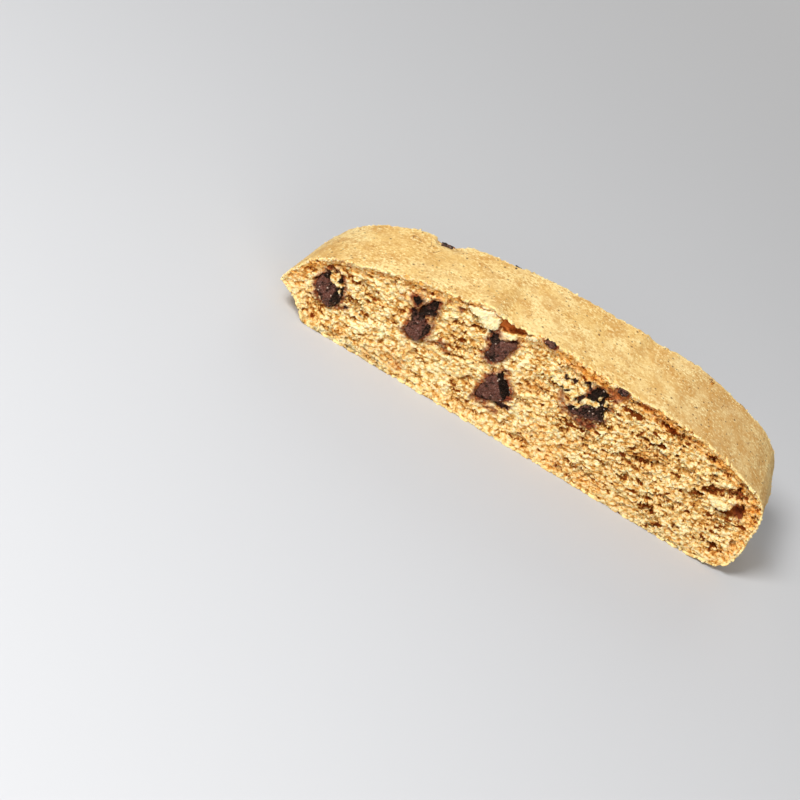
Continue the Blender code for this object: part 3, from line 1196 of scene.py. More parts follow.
@dataclass
class CrumbFace:
    """The porous crumb of one cut face, as a shallow body whose back is hidden in the slice."""

    side: Side
    marks: FaceMarks
    relief: CrumbRelief = CrumbRelief()
    along: int = 560
    up: int = 150
    rim_steps: int = 3000
    inset: float = 0.22 * MM
    extra_recess: float = 0.1 * MM
    body_depth: float = 7.0 * MM
    rear_room: float = 2.0 * MM
    rear_shrink: float = 0.05
    socket_depth: float = 2.2 * MM
    cavity_depth: float = 1.4 * MM
    plain_recess: float = 0.5 * MM
    rise_height: float = 0.55 * MM
    rise_calm: float = 0.75
    coarser: tuple[float, float] = (-15.0, 35.0)

    def places(self, form: SliceForm) -> tuple[np.ndarray, np.ndarray, np.ndarray]:
        """Lays a grid over the face.

        Args:
            form: The slice's form.

        Returns:
            Each point's X and Z, its distance from the outline in millimetres, and its place in the square.
        """
        columns, rows = np.linspace(-1, 1, self.along + 1), np.linspace(-1, 1, self.up + 1)
        u, v = np.meshgrid(columns, rows, indexing="ij")
        ring = form.rings[self.side]
        flat = ring.inside(u.ravel(), v.ravel())
        rim_points = ring.edge(np.linspace(-math.pi, math.pi, self.rim_steps, endpoint=False))
        tree = KDTree(len(rim_points))
        for i, (x, z) in enumerate(rim_points):
            tree.insert((x, 0.0, z), i)
        tree.balance()
        away = np.array([tree.find((x, 0.0, z))[2] for x, z in flat])
        toward = ring.hub - flat
        reach = np.linalg.norm(toward, axis=1, keepdims=True)
        pull = np.clip(1 - away / (4 * self.inset), 0, 1)[:, None] * self.inset
        flat = flat + toward / np.maximum(reach, 1e-9) * pull
        return flat, away / MM, np.stack([u.ravel(), v.ravel()], -1)

    def hollowed(self, solid_depth: np.ndarray, rim: np.ndarray, torn: np.ndarray) -> np.ndarray:
        """How deep the face lies at each place before its sockets are cut.

        Args:
            solid_depth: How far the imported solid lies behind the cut.
            rim: Distance from the outline in millimetres.
            torn: X and Z in millimetres, frayed.

        Returns:
            One depth for each place.
        """
        grid = smooth_grid(solid_depth.reshape(self.along + 1, self.up + 1)).ravel()
        flush = 0.25 + 0.75 * smooth_step(rim, 0.2, 3.0)
        return grid * np.where(grid > self.cavity_depth, 1.0, flush) + most(self.marks.hollows, torn) * MM

    def body(self, form: SliceForm, face: np.ndarray, square: np.ndarray) -> bpy.types.Object:
        """Closes the face into a body by a wall and a fan behind it.

        Args:
            form: The slice's form.
            face: The points of the face, over the grid.
            square: The places of the same points in the square.

        Returns:
            The mesh object, whose hidden points come after the face's.
        """
        rows, columns = self.along + 1, self.up + 1
        number = np.arange(rows * columns).reshape(rows, columns)
        quads = np.stack([number[:-1, :-1], number[1:, :-1], number[1:, 1:], number[:-1, 1:]], -1)
        border = np.concatenate([number[:-1, 0], number[-1, :-1], number[:0:-1, -1], number[0, :0:-1]])
        ring = form.rings[self.side]
        share = self.side.value * (1 - self.body_depth / form.half)
        edge = form.loft(ring.angle_of(square[border]), share)
        edge = edge + (ring.hub - edge) * self.rear_shrink
        rear = np.column_stack([edge[:, 0], np.full(len(border), share * form.half), edge[:, 1]])
        first, place = len(face), np.arange(len(border))
        after = np.roll(place, -1)
        wall = np.stack([border, first + place, first + after, border[after]], -1)
        points = np.vstack([face, rear, [[ring.hub[0], rear[0, 1], ring.hub[1]]]])
        fan = [(first + a, len(points) - 1, first + b) for a, b in zip(place, after)]
        faces = [*quads.reshape(-1, 4), *wall, *fan]
        if self.side is Side.BACK:
            faces = [f[::-1] for f in faces]
        return mesh_object(f"crumb_{self.side.name.lower()}_base", points, faces)

    def sheet(self, form: SliceForm, chips: "ChipSet") -> bpy.types.Object:
        """Builds the closed body whose face the recipe roughens.

        Args:
            form: The slice's form.
            chips: The chips, whose outlines stain the crumb.

        Returns:
            The mesh object, with its numbers stored on its points.
        """
        flat, rim, square = self.places(form)
        if self.side is Side.BACK:
            upper = flat[:, 1] > form.HUB_HEIGHT
            flat[:, 1] -= NOTCH.drop(flat[:, 0]) * upper * smooth_step(rim, NOTCH.crumb_reach, 0.0)
        here = flat / MM
        torn = frayed(here)
        behind = form.depth_behind_cut(self.side, flat)
        behind[chips.in_sockets(self.side, here)] = self.plain_recess
        covers = most(self.marks.covers, torn)
        chip = chips.distance(self.side, here)
        socket = smooth_step(chip, 0.15, -0.55) * (1 - covers)
        rise = most(self.marks.rises, here)
        hollow = self.hollowed(behind, rim, torn) + socket * self.socket_depth
        hollow = np.minimum(hollow, self.body_depth - self.rear_room)
        behind = np.maximum(hollow - rise * self.rise_height, 0.0) + self.extra_recess
        face = np.column_stack([flat[:, 0], self.side.value * (form.half - behind), flat[:, 1]])
        piece = self.body(form, face, square)
        shown = {
            "cut": np.ones(len(face)),
            "rim": rim,
            # The hollow's depth also feeds the painted shade that the recipe stores.
            "hollow": hollow / MM,
            "chip": chip,
            "calm": 1 - self.rise_calm * rise,
            "coarse": smooth_step(here[:, 0], *self.coarser),
            "stain_patch": most(self.marks.stains, torn),
            "rust": most(self.marks.rusts, torn),
            "melt_patch": most(self.marks.melts, torn),
            "cover": covers,
        }
        hidden = np.zeros(len(piece.data.vertices) - len(face))
        for name, row in shown.items():
            rest = hidden + FAR_FROM_CHIPS if name == "chip" else hidden
            keep_numbers(piece, **{name: np.concatenate([row, rest])})
        return piece

    def recipe(self, material: bpy.types.Material) -> Recipe:
        """The tree that turns the smooth face into crumb.

        Args:
            material: The crumb's finish.

        Returns:
            The recipe, with this face's sizes.
        """
        r, relief = Recipe(f"crumb_relief_{self.side.name.lower()}"), self.relief
        inward = r.size("Inward", -float(self.side.value))
        seed = r.size("Seed", float(relief.seed))
        start = r.node("ShaderNodeCombineXYZ", None, X=seed, Y=seed, Z=seed).outputs[0]
        here = r.vector("ADD", r.place_in_mm(), start)
        flush = r.ramp(r.field("rim"), 0.0, 0.7, 0.6, 1.0)
        deep = r.total(self.depth(r, here), r.size("Base depth mm", relief.base_depth))
        deep = r.maths("MAXIMUM", r.product(deep, r.product(flush, r.field("calm"))), -relief.highest)
        push = r.product(r.product(deep, MM), r.product(r.field("cut"), inward))
        jitter = r.vector("SUBTRACT", r.noise(here, 1.2, 2.0).outputs["Color"], MIDDLE_GREY)
        jitter = r.vector("MULTIPLY", jitter, (MM, 0.0, MM))
        sideways = r.product(r.field("cut"), r.size("Sideways mm", relief.sideways))
        jitter = r.vector("SCALE", jitter, r.product(sideways, r.ramp(r.field("rim"), 0.2, 1.5)))
        straight = r.node("ShaderNodeCombineXYZ", None, X=0.0, Y=push, Z=0.0).outputs[0]
        moved = r.shifted(r.vector("ADD", straight, jitter))
        # Painted shade, stored with the depth for the colour: darker in the marked hollows and the chips'
        # sockets, near the rim, and towards the right end, where the light falls off.
        painted_hollow_shade = r.ramp(r.field("hollow"), 0.9, 2.6, 0.0, 1.6)
        shade = r.total(painted_hollow_shade, r.product(r.maths("SUBTRACT", 1.0, flush), 0.8))
        shade = r.total(shade, r.product(r.field("coarse"), 0.12))
        kept = r.store(moved, "depth", r.total(deep, shade))
        r.finish(self.stained(r, here, kept), material)
        return r

    def depth(self, r: Recipe, here: Any) -> Any:
        """How deep the crumb's lumps, slits, holes and crags go, before they are calmed.

        Args:
            r: The recipe.
            here: Each point's place in millimetres, moved by the seed.

        Returns:
            The socket of the depth in millimetres.
        """
        relief = self.relief
        lump = r.size("Lump size mm", relief.lump)
        pore = r.size("Pore size mm", relief.pore)
        small = r.size("Small pore size mm", relief.small_pore)
        lump_depth = r.size("Lump depth mm", relief.lump_depth)
        slit_depth = r.size("Slit depth mm", relief.slit_depth)
        pore_depth = r.size("Pore depth mm", relief.pore_depth)
        small_depth = r.size("Small pore depth mm", relief.small_pore_depth)
        crag_depth = r.size("Crag depth mm", relief.crag_depth)
        fine_depth = r.size("Fine depth mm", relief.fine_depth)
        stretch = r.size("Stretch along", relief.stretch)
        squeeze = r.node("ShaderNodeCombineXYZ", None, X=stretch, Y=0.8, Z=1.0).outputs[0]
        flow = r.vector("MULTIPLY", here, squeeze)
        warped = r.drifted(r.drifted(flow, 0.5, 1.6), 1.6, 0.5)
        open_crumb = r.ramp(r.field("coarse"), 0.0, 1.0, 0.78, 1.4)
        lumps = r.cells(warped, r.maths("DIVIDE", 1.0, lump)).outputs["Distance"]
        slits = r.noise(r.vector("MULTIPLY", warped, (0.5, 1.0, 1.0)), 0.55, 3.0, 0.6).outputs[0]
        crags = r.noise(flow, 1.5, 3.0, 0.62).outputs[0]
        fine = r.noise(here, 2.9, 2.0, 0.6).outputs[0]
        return r.total(
            r.product(r.ramp(lumps, 0.22, 0.8), lump_depth),
            r.ramp(slits, 0.57, 0.68, 0.0, r.product(slit_depth, open_crumb)),
            r.holes(warped, pore, r.product(pore_depth, open_crumb), 0.5, 0.46),
            r.holes(warped, small, small_depth, 0.3, 0.5),
            r.product(r.centred(crags), crag_depth),
            r.product(r.centred(fine), fine_depth),
        )

    def stained(self, r: Recipe, here: Any, kept: Any) -> Any:
        """Stores how stained and how melted each point is.

        Args:
            r: The recipe.
            here: Each point's place in millimetres, moved by the seed.
            kept: The geometry so far.

        Returns:
            The geometry's socket.
        """
        blot = r.noise(here, 0.9, 3.0, 0.65).outputs[0]
        bare = r.maths("SUBTRACT", 1.0, r.field("cover"))
        halo = r.product(r.ramp(r.field("chip"), 1.6, 0.3), r.ramp(blot, 0.32, 0.54, 0.4, 1.0))
        patch = r.product(r.field("stain_patch"), r.ramp(blot, 0.3, 0.5, 0.35, 1.0))
        kept = r.store(kept, "stain", r.product(r.maths("MAXIMUM", halo, patch), bare))
        torn = r.total(r.field("melt_patch"), r.centred(blot))
        melt = r.product(r.ramp(torn, 0.3, 0.5), r.maths("GREATER_THAN", r.field("melt_patch"), 0.01))
        socket = r.product(r.ramp(r.field("chip"), 0.25, -0.2), r.ramp(r.field("hollow"), 0.9, 1.5))
        return r.store(kept, "melt", r.maths("MAXIMUM", melt, r.product(socket, bare)))

    def build(self, form: SliceForm, chips: "ChipSet", material: bpy.types.Material) -> bpy.types.Object:
        """Makes the finished face.

        Args:
            form: The slice's form.
            chips: The chips in the face.
            material: The crumb's finish.

        Returns:
            The piece.
        """
        piece = self.recipe(material).bake(self.sheet(form, chips), f"crumb_{self.side.name.lower()}")
        keep_inside(piece)
        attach(piece, "root")
        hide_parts(BISCUIT)
        return piece


def smooth_grid(grid: np.ndarray) -> np.ndarray:
    """Averages each place of a grid with its four neighbours.

    Args:
        grid: One number for each place.

    Returns:
        The averages, in the same grid.
    """
    padded = np.pad(grid, 1, mode="edge")
    beside = padded[:-2, 1:-1] + padded[2:, 1:-1] + padded[1:-1, :-2] + padded[1:-1, 2:]
    return (4 * grid + beside) / 8


@dataclass(frozen=True)
class Notch:
    """The step in the back lip, where the crust drops and rises again along the slice."""

    start: float = -42.5 * MM
    end: float = -33.0 * MM
    depth: float = 1.1 * MM
    steep_length: float = 0.6 * MM
    gentle_length: float = 5.0 * MM
    crumb_reach: float = 5.0

    def drop(self, x: np.ndarray) -> np.ndarray:
        """How far the surface drops at each place along the slice."""
        steep = smooth_step(x, self.start, self.start + self.steep_length)
        return self.depth * steep * smooth_step(x, self.end, self.end - self.gentle_length)


NOTCH = Notch()
CRUST_CRACKS = (
    Patch(((21.9, -5.8), (21.8, -7.1), (21.2, -8.5), (21.8, -7.1)), 0.1, 1.0, 0.3),
    Patch(((58.6, 0.3), (58.8, -2.1)), 0.1, 0.9, 0.3),
    Patch(((61.9, -3.4), (61.3, -5.4)), 0.1, 0.9, 0.3),
    Patch(((41.1, 7.6), (42.1, 7.3)), 0.3, 0.7, 0.3),
    Patch(((-28.0, 6.2), (-26.6, 4.9)), 0.1, 0.8, 0.3),
)


@dataclass
class Crust:
    """The thin baked crust round the slice, open at both cuts, with a ragged lip."""

    around: int = 1000
    through: int = 72
    thickness: float = 0.5 * MM
    ragged: float = 1.5 * MM
    ragged_reach: float = 1.8 * MM
    rear_ragged: float = 0.5
    margin: float = 0.1 * MM
    chip_step: float = 0.9 * MM
    step_length: float = 0.5 * MM
    crack_depth: float = 0.15 * MM
    lip_width: float = 0.9 * MM
    bump_height: float = 0.16
    pit_depth: float = 0.2
    lip_rows: Sequence[tuple[float, float]] = ((0.1, 0.06), (0.0, 0.3), (0.0, 0.7), (0.25, 1.0))
    inner_rows: Sequence[float] = (0.86, 0.5, 0.0, -0.5, -0.86)

    def section(self, half: float) -> np.ndarray:
        """The wall's cross-section: Y as a share of the half thickness, inset as a share of the wall.

        Args:
            half: Half the slice's thickness.

        Returns:
            One row for each point round the wall, from the front lip over the outside.
        """
        outside = [(share, 0.0) for share in np.linspace(-1, 1, self.through + 1)[1:-1]]
        lip = [(1 - drop * self.thickness / half, inset) for drop, inset in self.lip_rows]
        inside = [(share, 1.0) for share in self.inner_rows]
        front = [(-share, inset) for share, inset in lip]
        return np.array(outside + lip + inside + front[::-1])

    def chip_notch(self, chips: "ChipSet", side: int, x: float) -> float:
        """How far the lip steps back for a chip that breaks through it.

        Args:
            chips: The chips.
            side: -1 for the front lip and 1 for the back one.
            x: The place along the slice.

        Returns:
            The step in metres.
        """
        share = 0.0
        for low, high in chips.lip_spans[side]:
            rise = smooth_step(x, low, low + self.step_length)
            share = max(share, rise * smooth_step(x, high, high - self.step_length))
        return share * self.chip_step

    def torn(self, x: float, z: float, side: int) -> float:
        """How far the lip is torn back at a place along it.

        Args:
            x: The place along the slice.
            z: Its height.
            side: -1 for the front lip and 1 for the back one.

        Returns:
            The depth in metres.
        """
        depth = 0.3 + wave((x, 5 * side, z), 1.5 * MM) + 0.6 * wave((x, 9 * side, z), 5 * MM)
        depth = self.ragged * max(0.0, depth + 0.8 * wave((x, 2 * side, z), 0.6 * MM))
        return depth * (self.rear_ragged if side > 0 else 1.0)

    def shell(self, form: SliceForm, chips: "ChipSet") -> bpy.types.Object:
        """Builds the closed wall.

        Args:
            form: The slice's form.
            chips: The chips, some of which break through the lip.

        Returns:
            The mesh object, with its numbers stored on its points.
        """
        angle = form.even_angles(self.around)
        section = self.section(form.half)
        points, lip, base, crack = [], [], [], []
        for share, inset in section:
            edge = form.loft(angle, share)
            tangent = np.roll(edge, -1, axis=0) - np.roll(edge, 1, axis=0)
            normal = np.stack([tangent[:, 1], -tangent[:, 0]], -1)
            normal /= np.linalg.norm(normal, axis=1, keepdims=True)
            side = -1 if share < 0 else 1
            seen_from_above = np.column_stack([edge[:, 0], np.full(len(edge), share * form.half)]) / MM
            split = most(CRUST_CRACKS, seen_from_above)
            split *= (normal[:, 1] > 0.3) * (inset == 0.0)
            crack += split.tolist()
            for (x, z), (nx, nz), gap in zip(edge, normal, split):
                wall = self.thickness * (1 + 0.35 * wave((x, side, z), 4 * MM))
                torn = self.torn(x, z, side)
                if nz > 0:
                    torn = max(torn, self.chip_notch(chips, side, x))
                reach = max(self.ragged_reach, 2.2 * torn)
                fade = max(0.0, 1 - form.half * (1 - abs(share)) / reach)
                sunk = inset * wall + gap * self.crack_depth
                if nz > 0.3 and side > 0:
                    sunk += NOTCH.drop(x) * smooth_step(share, 0.62, 0.9)
                y = share * (form.half - self.margin) - side * torn * fade**2
                points.append((x - nx * sunk, y, max(0.0, z - nz * sunk)))
            near = max(0.0, 1 - form.half * (1 - abs(share)) / self.lip_width)
            lip += [max(near, inset)] * len(edge)
            base += [float(nz < -0.7) for nx, nz in normal]
        rows, columns = len(section), self.around
        number = np.arange(rows * columns).reshape(rows, columns)
        after_row, after_column = np.roll(number, -1, axis=0), np.roll(number, -1, axis=1)
        both = np.roll(after_row, -1, axis=1)
        faces = np.stack([number, after_column, both, after_row], -1).reshape(-1, 4)
        piece = mesh_object("crust_base", np.array(points), faces)
        keep_numbers(piece, lip=np.array(lip), base=np.array(base), crack=np.array(crack))
        return piece

    def recipe(self, material: bpy.types.Material) -> Recipe:
        """The tree that gives the crust its low bumps and pits.

        Args:
            material: The crust's finish.

        Returns:
            The recipe.
        """
        r = Recipe("crust_relief")
        bump_height = r.size("Bump height mm", self.bump_height)
        pit_depth = r.size("Pit depth mm", self.pit_depth)
        here = r.place_in_mm()
        swell = r.product(r.centred(r.noise(here, 0.35, 3.0).outputs[0], 0.75), bump_height)
        pits = r.cells(here, 0.3)
        wide = r.ramp(r.part(pits.outputs["Color"], 0), 0.6, 1.0, 0.0, 0.25)
        dimple = r.ramp(pits.outputs["Distance"], wide, 0.0, 0.0, pit_depth)
        rise = r.product(r.maths("SUBTRACT", swell, dimple), MM)
        moved = r.shifted(r.vector("SCALE", r.node("GeometryNodeInputNormal").outputs[0], rise))
        r.finish(moved, material)
        return r

    def build(self, form: SliceForm, chips: "ChipSet", material: bpy.types.Material) -> bpy.types.Object:
        """Makes the finished crust.

        Args:
            form: The slice's form.
            chips: The chips, some of which break through the lip.
            material: The crust's finish.

        Returns:
            The piece.
        """
        piece = self.recipe(material).bake(self.shell(form, chips), "crust")
        keep_inside(piece)
        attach(piece, "root")
        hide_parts(BISCUIT)
        return piece


@dataclass(frozen=True)
class Facet:
    """One broken plane of a chip: how it falls along X and Z, its depth in the middle, and its tone, from
    dark to bloomed; a dark tone on a plane turned from the light is painted shade.
    """

    along: float
    up: float
    start: float = 0.0
    tone: float = 1.0


@dataclass(frozen=True)
class ChipShape:
    """A chip's outline on the cut face and the planes that its face is broken into, in millimetres."""

    outline: Sequence[tuple[float, float]]
    facets: Sequence[Facet]
    sink: float = 0.45

    @property
    def centre(self) -> np.ndarray:
        """The middle of the outline's corners."""
        return np.array(self.outline).mean(0)

    def radius(self, turn: np.ndarray) -> np.ndarray:
        """How far the outline is from the centre.

        Args:
            turn: Angles round the centre.

        Returns:
            One distance for each angle.
        """
        corners = np.array(self.outline)
        share = np.linspace(0, 1, 8, endpoint=False)[:, None, None]
        dense = (corners + share * (np.roll(corners, -1, axis=0) - corners)).reshape(-1, 2) - self.centre
        angle = np.arctan2(dense[:, 1], dense[:, 0])
        order = np.argsort(angle)
        return np.interp(turn, angle[order], np.linalg.norm(dense, axis=1)[order], period=2 * math.pi)


# A dark tone on a plane that falls away from the light is partly painted shade, partly the chocolate's own
# near-black.
FRONT_CHIPS = {
    "chip_front_1": ChipShape(
        ((-63.9, 11.1), (-64.2, 12.6), (-64.1, 14.3), (-63.4, 15.7), (-62.3, 17.0), (-60.4, 17.0),
         (-58.7, 16.1), (-57.5, 14.2), (-56.6, 12.1), (-56.4, 10.1), (-56.8, 8.5), (-58.2, 7.7),
         (-59.8, 7.7), (-61.4, 8.5), (-63.0, 9.8)),
        (Facet(-0.10, 0.06, 0.0, 0.95), Facet(0.55, 0.12, -0.9, 0.1), Facet(-0.35, -0.40, -1.0, 0.7),
         Facet(-0.1, 0.6, -1.4, 0.1)),
    ),
    "chip_front_2": ChipShape(
        ((-39.2, 13.4), (-39.1, 15.2), (-38.6, 16.7), (-39.4, 17.6), (-39.9, 19.4), (-38.6, 19.8),
         (-37.1, 20.4), (-36.2, 19.6), (-35.9, 18.2), (-34.5, 18.7), (-33.8, 18.1), (-33.4, 16.4),
         (-33.9, 14.7), (-34.7, 12.9), (-35.8, 12.2), (-37.5, 12.4)),
        (Facet(0.05, 0.06, 0.0, 1.0), Facet(0.5, 0.1, -0.75, 0.25), Facet(-0.35, -0.25, -0.75, 0.85),
         Facet(-0.15, 0.3, -0.55, 0.35)),
    ),
    "chip_front_3": ChipShape(
        ((-18.6, 19.0), (-18.8, 20.2), (-18.5, 22.2), (-19.0, 23.5), (-20.3, 24.1), (-20.0, 26.0),
         (-19.2, 27.0), (-18.2, 25.4), (-17.0, 25.7), (-15.5, 26.0), (-13.8, 26.9), (-13.1, 26.4),
         (-13.9, 24.1), (-13.9, 21.7), (-14.8, 20.0), (-16.1, 18.4), (-17.6, 18.4)),
        (Facet(0.02, -0.03, 0.0, 1.0), Facet(-0.35, -0.30, -0.35, 0.55), Facet(-0.45, 0.35, -1.0, 0.2)),
    ),
    "chip_front_4": ChipShape(
        ((-14.4, 7.2), (-14.7, 9.5), (-14.5, 12.4), (-14.6, 13.7), (-13.7, 15.2), (-12.4, 16.8),
         (-11.7, 18.2), (-11.0, 17.7), (-11.2, 16.6), (-10.0, 16.1), (-8.5, 14.9), (-6.9, 13.3),
         (-6.8, 12.3), (-7.6, 10.9), (-9.2, 9.0), (-11.8, 7.5), (-13.3, 6.8)),
        (Facet(-0.16, -0.16, 0.22, 1.0), Facet(0.62, 0.62, -0.95, 0.0), Facet(-0.1, -0.45, -0.9, 0.8)),
    ),
    "chip_front_5": ChipShape(
        ((6.7, 18.9), (8.0, 21.2), (9.2, 22.9), (8.7, 25.4), (9.6, 27.3), (11.6, 28.1),
         (13.7, 27.6), (14.7, 25.7), (16.0, 24.2), (15.3, 22.6), (16.3, 20.4), (14.6, 19.7),
         (11.4, 18.5), (8.4, 17.8)),
        (Facet(0.02, 0.02, 0.1, 0.4), Facet(0.3, 0.4, -0.5, 0.0), Facet(-0.3, 0.2, -0.4, 0.0),
         Facet(0.1, -0.45, -1.2, 0.9)),
    ),
    "chip_front_6": ChipShape(
        ((-38.4, 19.6), (-38.5, 21.3), (-37.8, 23.0), (-37.0, 24.9), (-36.0, 25.7), (-35.3, 24.2),
         (-35.4, 22.7), (-34.4, 21.9), (-34.9, 21.2), (-35.9, 21.1), (-36.9, 19.9)),
        (Facet(-0.1, 0.1, 0.0, 0.0), Facet(0.3, -0.2, -0.1, 0.3)),
    ),
    "chip_front_7": ChipShape(
        ((-42.0, 23.1), (-40.6, 23.8), (-39.5, 23.4), (-39.8, 21.5), (-41.1, 22.2)),
        (Facet(0.1, 0.1, 0.1, 0.0),),
    ),
}


Row = tuple[np.ndarray, np.ndarray]


@dataclass(frozen=True)
class FacePlace:
    """A cut face as a chip meets it, with half the slice's thickness in millimetres and its loose crumb."""

    side: Side
    half: float
    covers: Sequence[Patch]


def capped_rows(rows: int, count: int) -> list[Sequence[int]]:
    """Joins rings of points into a closed body, whose last two points are its tips.

    Args:
        rows: How many rings.
        count: Points in each ring.

    Returns:
        The point numbers of each face.
    """
    place = np.arange(count)
    after = (place + 1) % count
    faces = []
    for row in range(rows - 1):
        here, beyond = row * count, (row + 1) * count
        faces += np.stack([here + place, here + after, beyond + after, beyond + place], -1).tolist()
    last, tip = (rows - 1) * count, rows * count
    faces += [(tip, after[i], i) for i in range(count)]
    faces += [(tip + 1, last + i, last + after[i]) for i in range(count)]
    return faces


def is_chip(name: str) -> bool:
    """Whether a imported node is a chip."""
    return name.startswith(CHIP_PREFIX)


@dataclass
class ChipSet:
    """The chocolate chips, each with a broken, faceted face. Sizes without MM are in millimetres."""

    around: int = 132
    rings: int = 26
    wall: Sequence[tuple[float, float]] = (
        (1.0, 0.35), (0.99, 0.9), (0.93, 1.7), (0.8, 2.6), (0.55, 3.4), (0.25, 3.9)
    )
    wall_depth: float = 4.3
    rim_tolerance: float = 0.05
    socket_room: float = 0.6
    max_depth: float = 4.2
    cover_drop: float = 1.3
    round_share: float = 0.5
    jag: float = 0.22
    roughness: float = 0.32
    least_recess: float = 0.04
    seed: int = 40
    lump_rows: int = 24
    lump_drop: float = 0.35 * MM
    lump_trim: float = 0.35 * MM
    lump_height: float = 0.72
    lump_swell: float = 1.08
    lump_boxiness: float = 0.7
    names: list[str] = field(default_factory=lambda: sorted(filter(is_chip, frame["nodes"])))

    def __post_init__(self) -> None:
        """Settles the shape of every chip."""
        self.solid_rims = {name: self.solid_rim(name) for name in self.names}
        self.shapes = {
            name: FRONT_CHIPS.get(name) or self.plain_shape(name, i) for i, name in enumerate(self.names)
        }
        self.lip_spans: dict[int, list[tuple[float, float]]] = {-1: [], 1: []}
        for name in self.names:
            if name.startswith(LIP_PREFIX):
                low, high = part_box(name)
                self.lip_spans[self.side(name).value].append((low.x, high.x))

    def side(self, name: str) -> Side:
        """The face that a chip shows in."""
        low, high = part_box(name)
        return Side.FRONT if low.y + high.y < 0 else Side.BACK

    def solid_rim(self, name: str) -> np.ndarray:
        """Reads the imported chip's cut outline.

        Args:
            name: The chip's node.

        Returns:
            X and Z in millimetres of its points, in order round it.
        """
        points = node_points(name) / MM
        toward = points[:, 1] * self.side(name).value
        rim = points[toward > toward.max() - self.rim_tolerance][:, [0, 2]]
        away = rim - rim.mean(0)
        return rim[np.argsort(np.arctan2(away[:, 1], away[:, 0]))]

    def plain_shape(self, name: str, number: int) -> ChipShape:
        """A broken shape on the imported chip's own outline.

        Args:
            name: The chip's node.
            number: Its place in the set, which seeds its planes.

        Returns:
            The shape.
        """
        draw = np.random.default_rng(self.seed + number)
        rim = self.solid_rims[name]
        centre = rim.mean(0)
        uneven = 1 + 0.07 * np.array([wave((x, z, number), 2.5) for x, z in rim])[:, None]
        outline = centre + (rim - centre) * uneven
        if name.startswith(LIP_PREFIX):
            top = outline[:, 1].max()
            outline[:, 1] = top - (top - outline[:, 1]) * self.lump_height
        facets = [Facet(*draw.uniform(-0.1, 0.1, 2), 0.0, 0.95)]
        first = draw.uniform(0, 2 * math.pi)
        for turn, tone in zip(first + np.arange(3) * 2.1, (0.1, 0.7, 0.3)):
            lean = draw.uniform(0.35, 0.6)
            facets.append(Facet(math.cos(turn) * lean, math.sin(turn) * lean, -draw.uniform(0.5, 1.0), tone))
        return ChipShape([tuple(p) for p in outline], facets)

    def distance(self, side: Side, places: np.ndarray) -> np.ndarray:
        """How far each place is from the nearest chip's outline, below 0 inside it.

        Args:
            side: The cut face.
            places: X and Z in millimetres.

        Returns:
            One distance in millimetres for each place.
        """
        nearest = np.full(len(places), FAR_FROM_CHIPS)
        for name, shape in self.shapes.items():
            if self.side(name) is side:
                nearest = np.minimum(nearest, outline_distance(places, shape.outline))
        return nearest

    def in_sockets(self, side: Side, places: np.ndarray) -> np.ndarray:
        """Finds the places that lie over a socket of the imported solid.

        Args:
            side: The cut face.
            places: X and Z in millimetres.

        Returns:
            Whether each place lies over one.
        """
        inside = np.zeros(len(places), bool)
        for name, rim in self.solid_rims.items():
            if self.side(name) is side:
                inside |= outline_distance(places, rim) < self.socket_room
        return inside

    def row(self, name: str, number: int, level: tuple[float, float], face: FacePlace) -> Row:
        """One ring of a chip's points, on its broken face or down its wall.

        Args:
            name: The chip's node.
            number: Its place in the set, which seeds its roughness.
            level: How far out the ring is, as a share of the outline, and how deep down the wall.
            face: The face that the chip shows in.

        Returns:
            The ring's points in millimetres, and the tone of each.
        """
        shape, (share, drop) = self.shapes[name], level
        turn = np.linspace(-math.pi, math.pi, self.around, endpoint=False)
        spoke = np.stack([np.cos(turn), np.sin(turn)], -1) * shape.radius(turn)[:, None]
        flat = shape.centre + share * spoke
        away = flat - shape.centre
        planes = np.stack([f.start + away @ (f.along, f.up) for f in shape.facets])
        tone = np.array([f.tone for f in shape.facets])[planes.argmax(0)]
        rounded = self.round_share * (1 - math.sqrt(1 - min(share, 1) ** 10))
        sunk = shape.sink + np.maximum(planes.max(0), 0) + rounded
        sunk = sunk + self.cover_drop * most(face.covers, frayed(flat))
        sunk = np.minimum(sunk, self.max_depth) + drop
        seed = number + drop
        rough = [wave((x, z, seed), 0.8) + 0.8 * wave((x, z, seed), 0.35) for x, z in flat]
        jag = [[wave((x, z, number + 9), 1.2), wave((x, z, number + 19), 1.2)] for x, z in flat]
        behind = np.maximum(sunk + self.roughness * np.array(rough), self.least_recess)
        flat = flat + self.jag * np.array(jag) * share
        return np.column_stack([flat[:, 0], face.side.value * (face.half - behind), flat[:, 1]]), tone

    def chip(self, name: str, number: int, face: FacePlace, material: bpy.types.Material) -> bpy.types.Object:
        """Builds one chip.

        Args:
            name: The chip's node.
            number: Its place in the set, which seeds its roughness.
            face: The face that the chip shows in.
            material: The chocolate's finish.

        Returns:
            The piece.
        """
        shape = self.shapes[name]
        top = [(share, 0.0) for share in np.linspace(0, 1, self.rings + 1)[1:]]
        rows = [self.row(name, number, level, face) for level in (*top, *self.wall)]
        x, z = shape.centre
        tip = face.side.value * (face.half - shape.sink)
        rear = face.side.value * (face.half - shape.sink - self.wall_depth)
        points = np.vstack([points for points, tone in rows] + [[[x, tip, z], [x, rear, z]]])
        tone = np.concatenate([tone for points, tone in rows] + [[shape.facets[0].tone, 0.0]])
        piece = mesh_object(f"{name}_broken", points * MM, capped_rows(len(rows), self.around))
        return self.dressed(piece, name, tone, material)

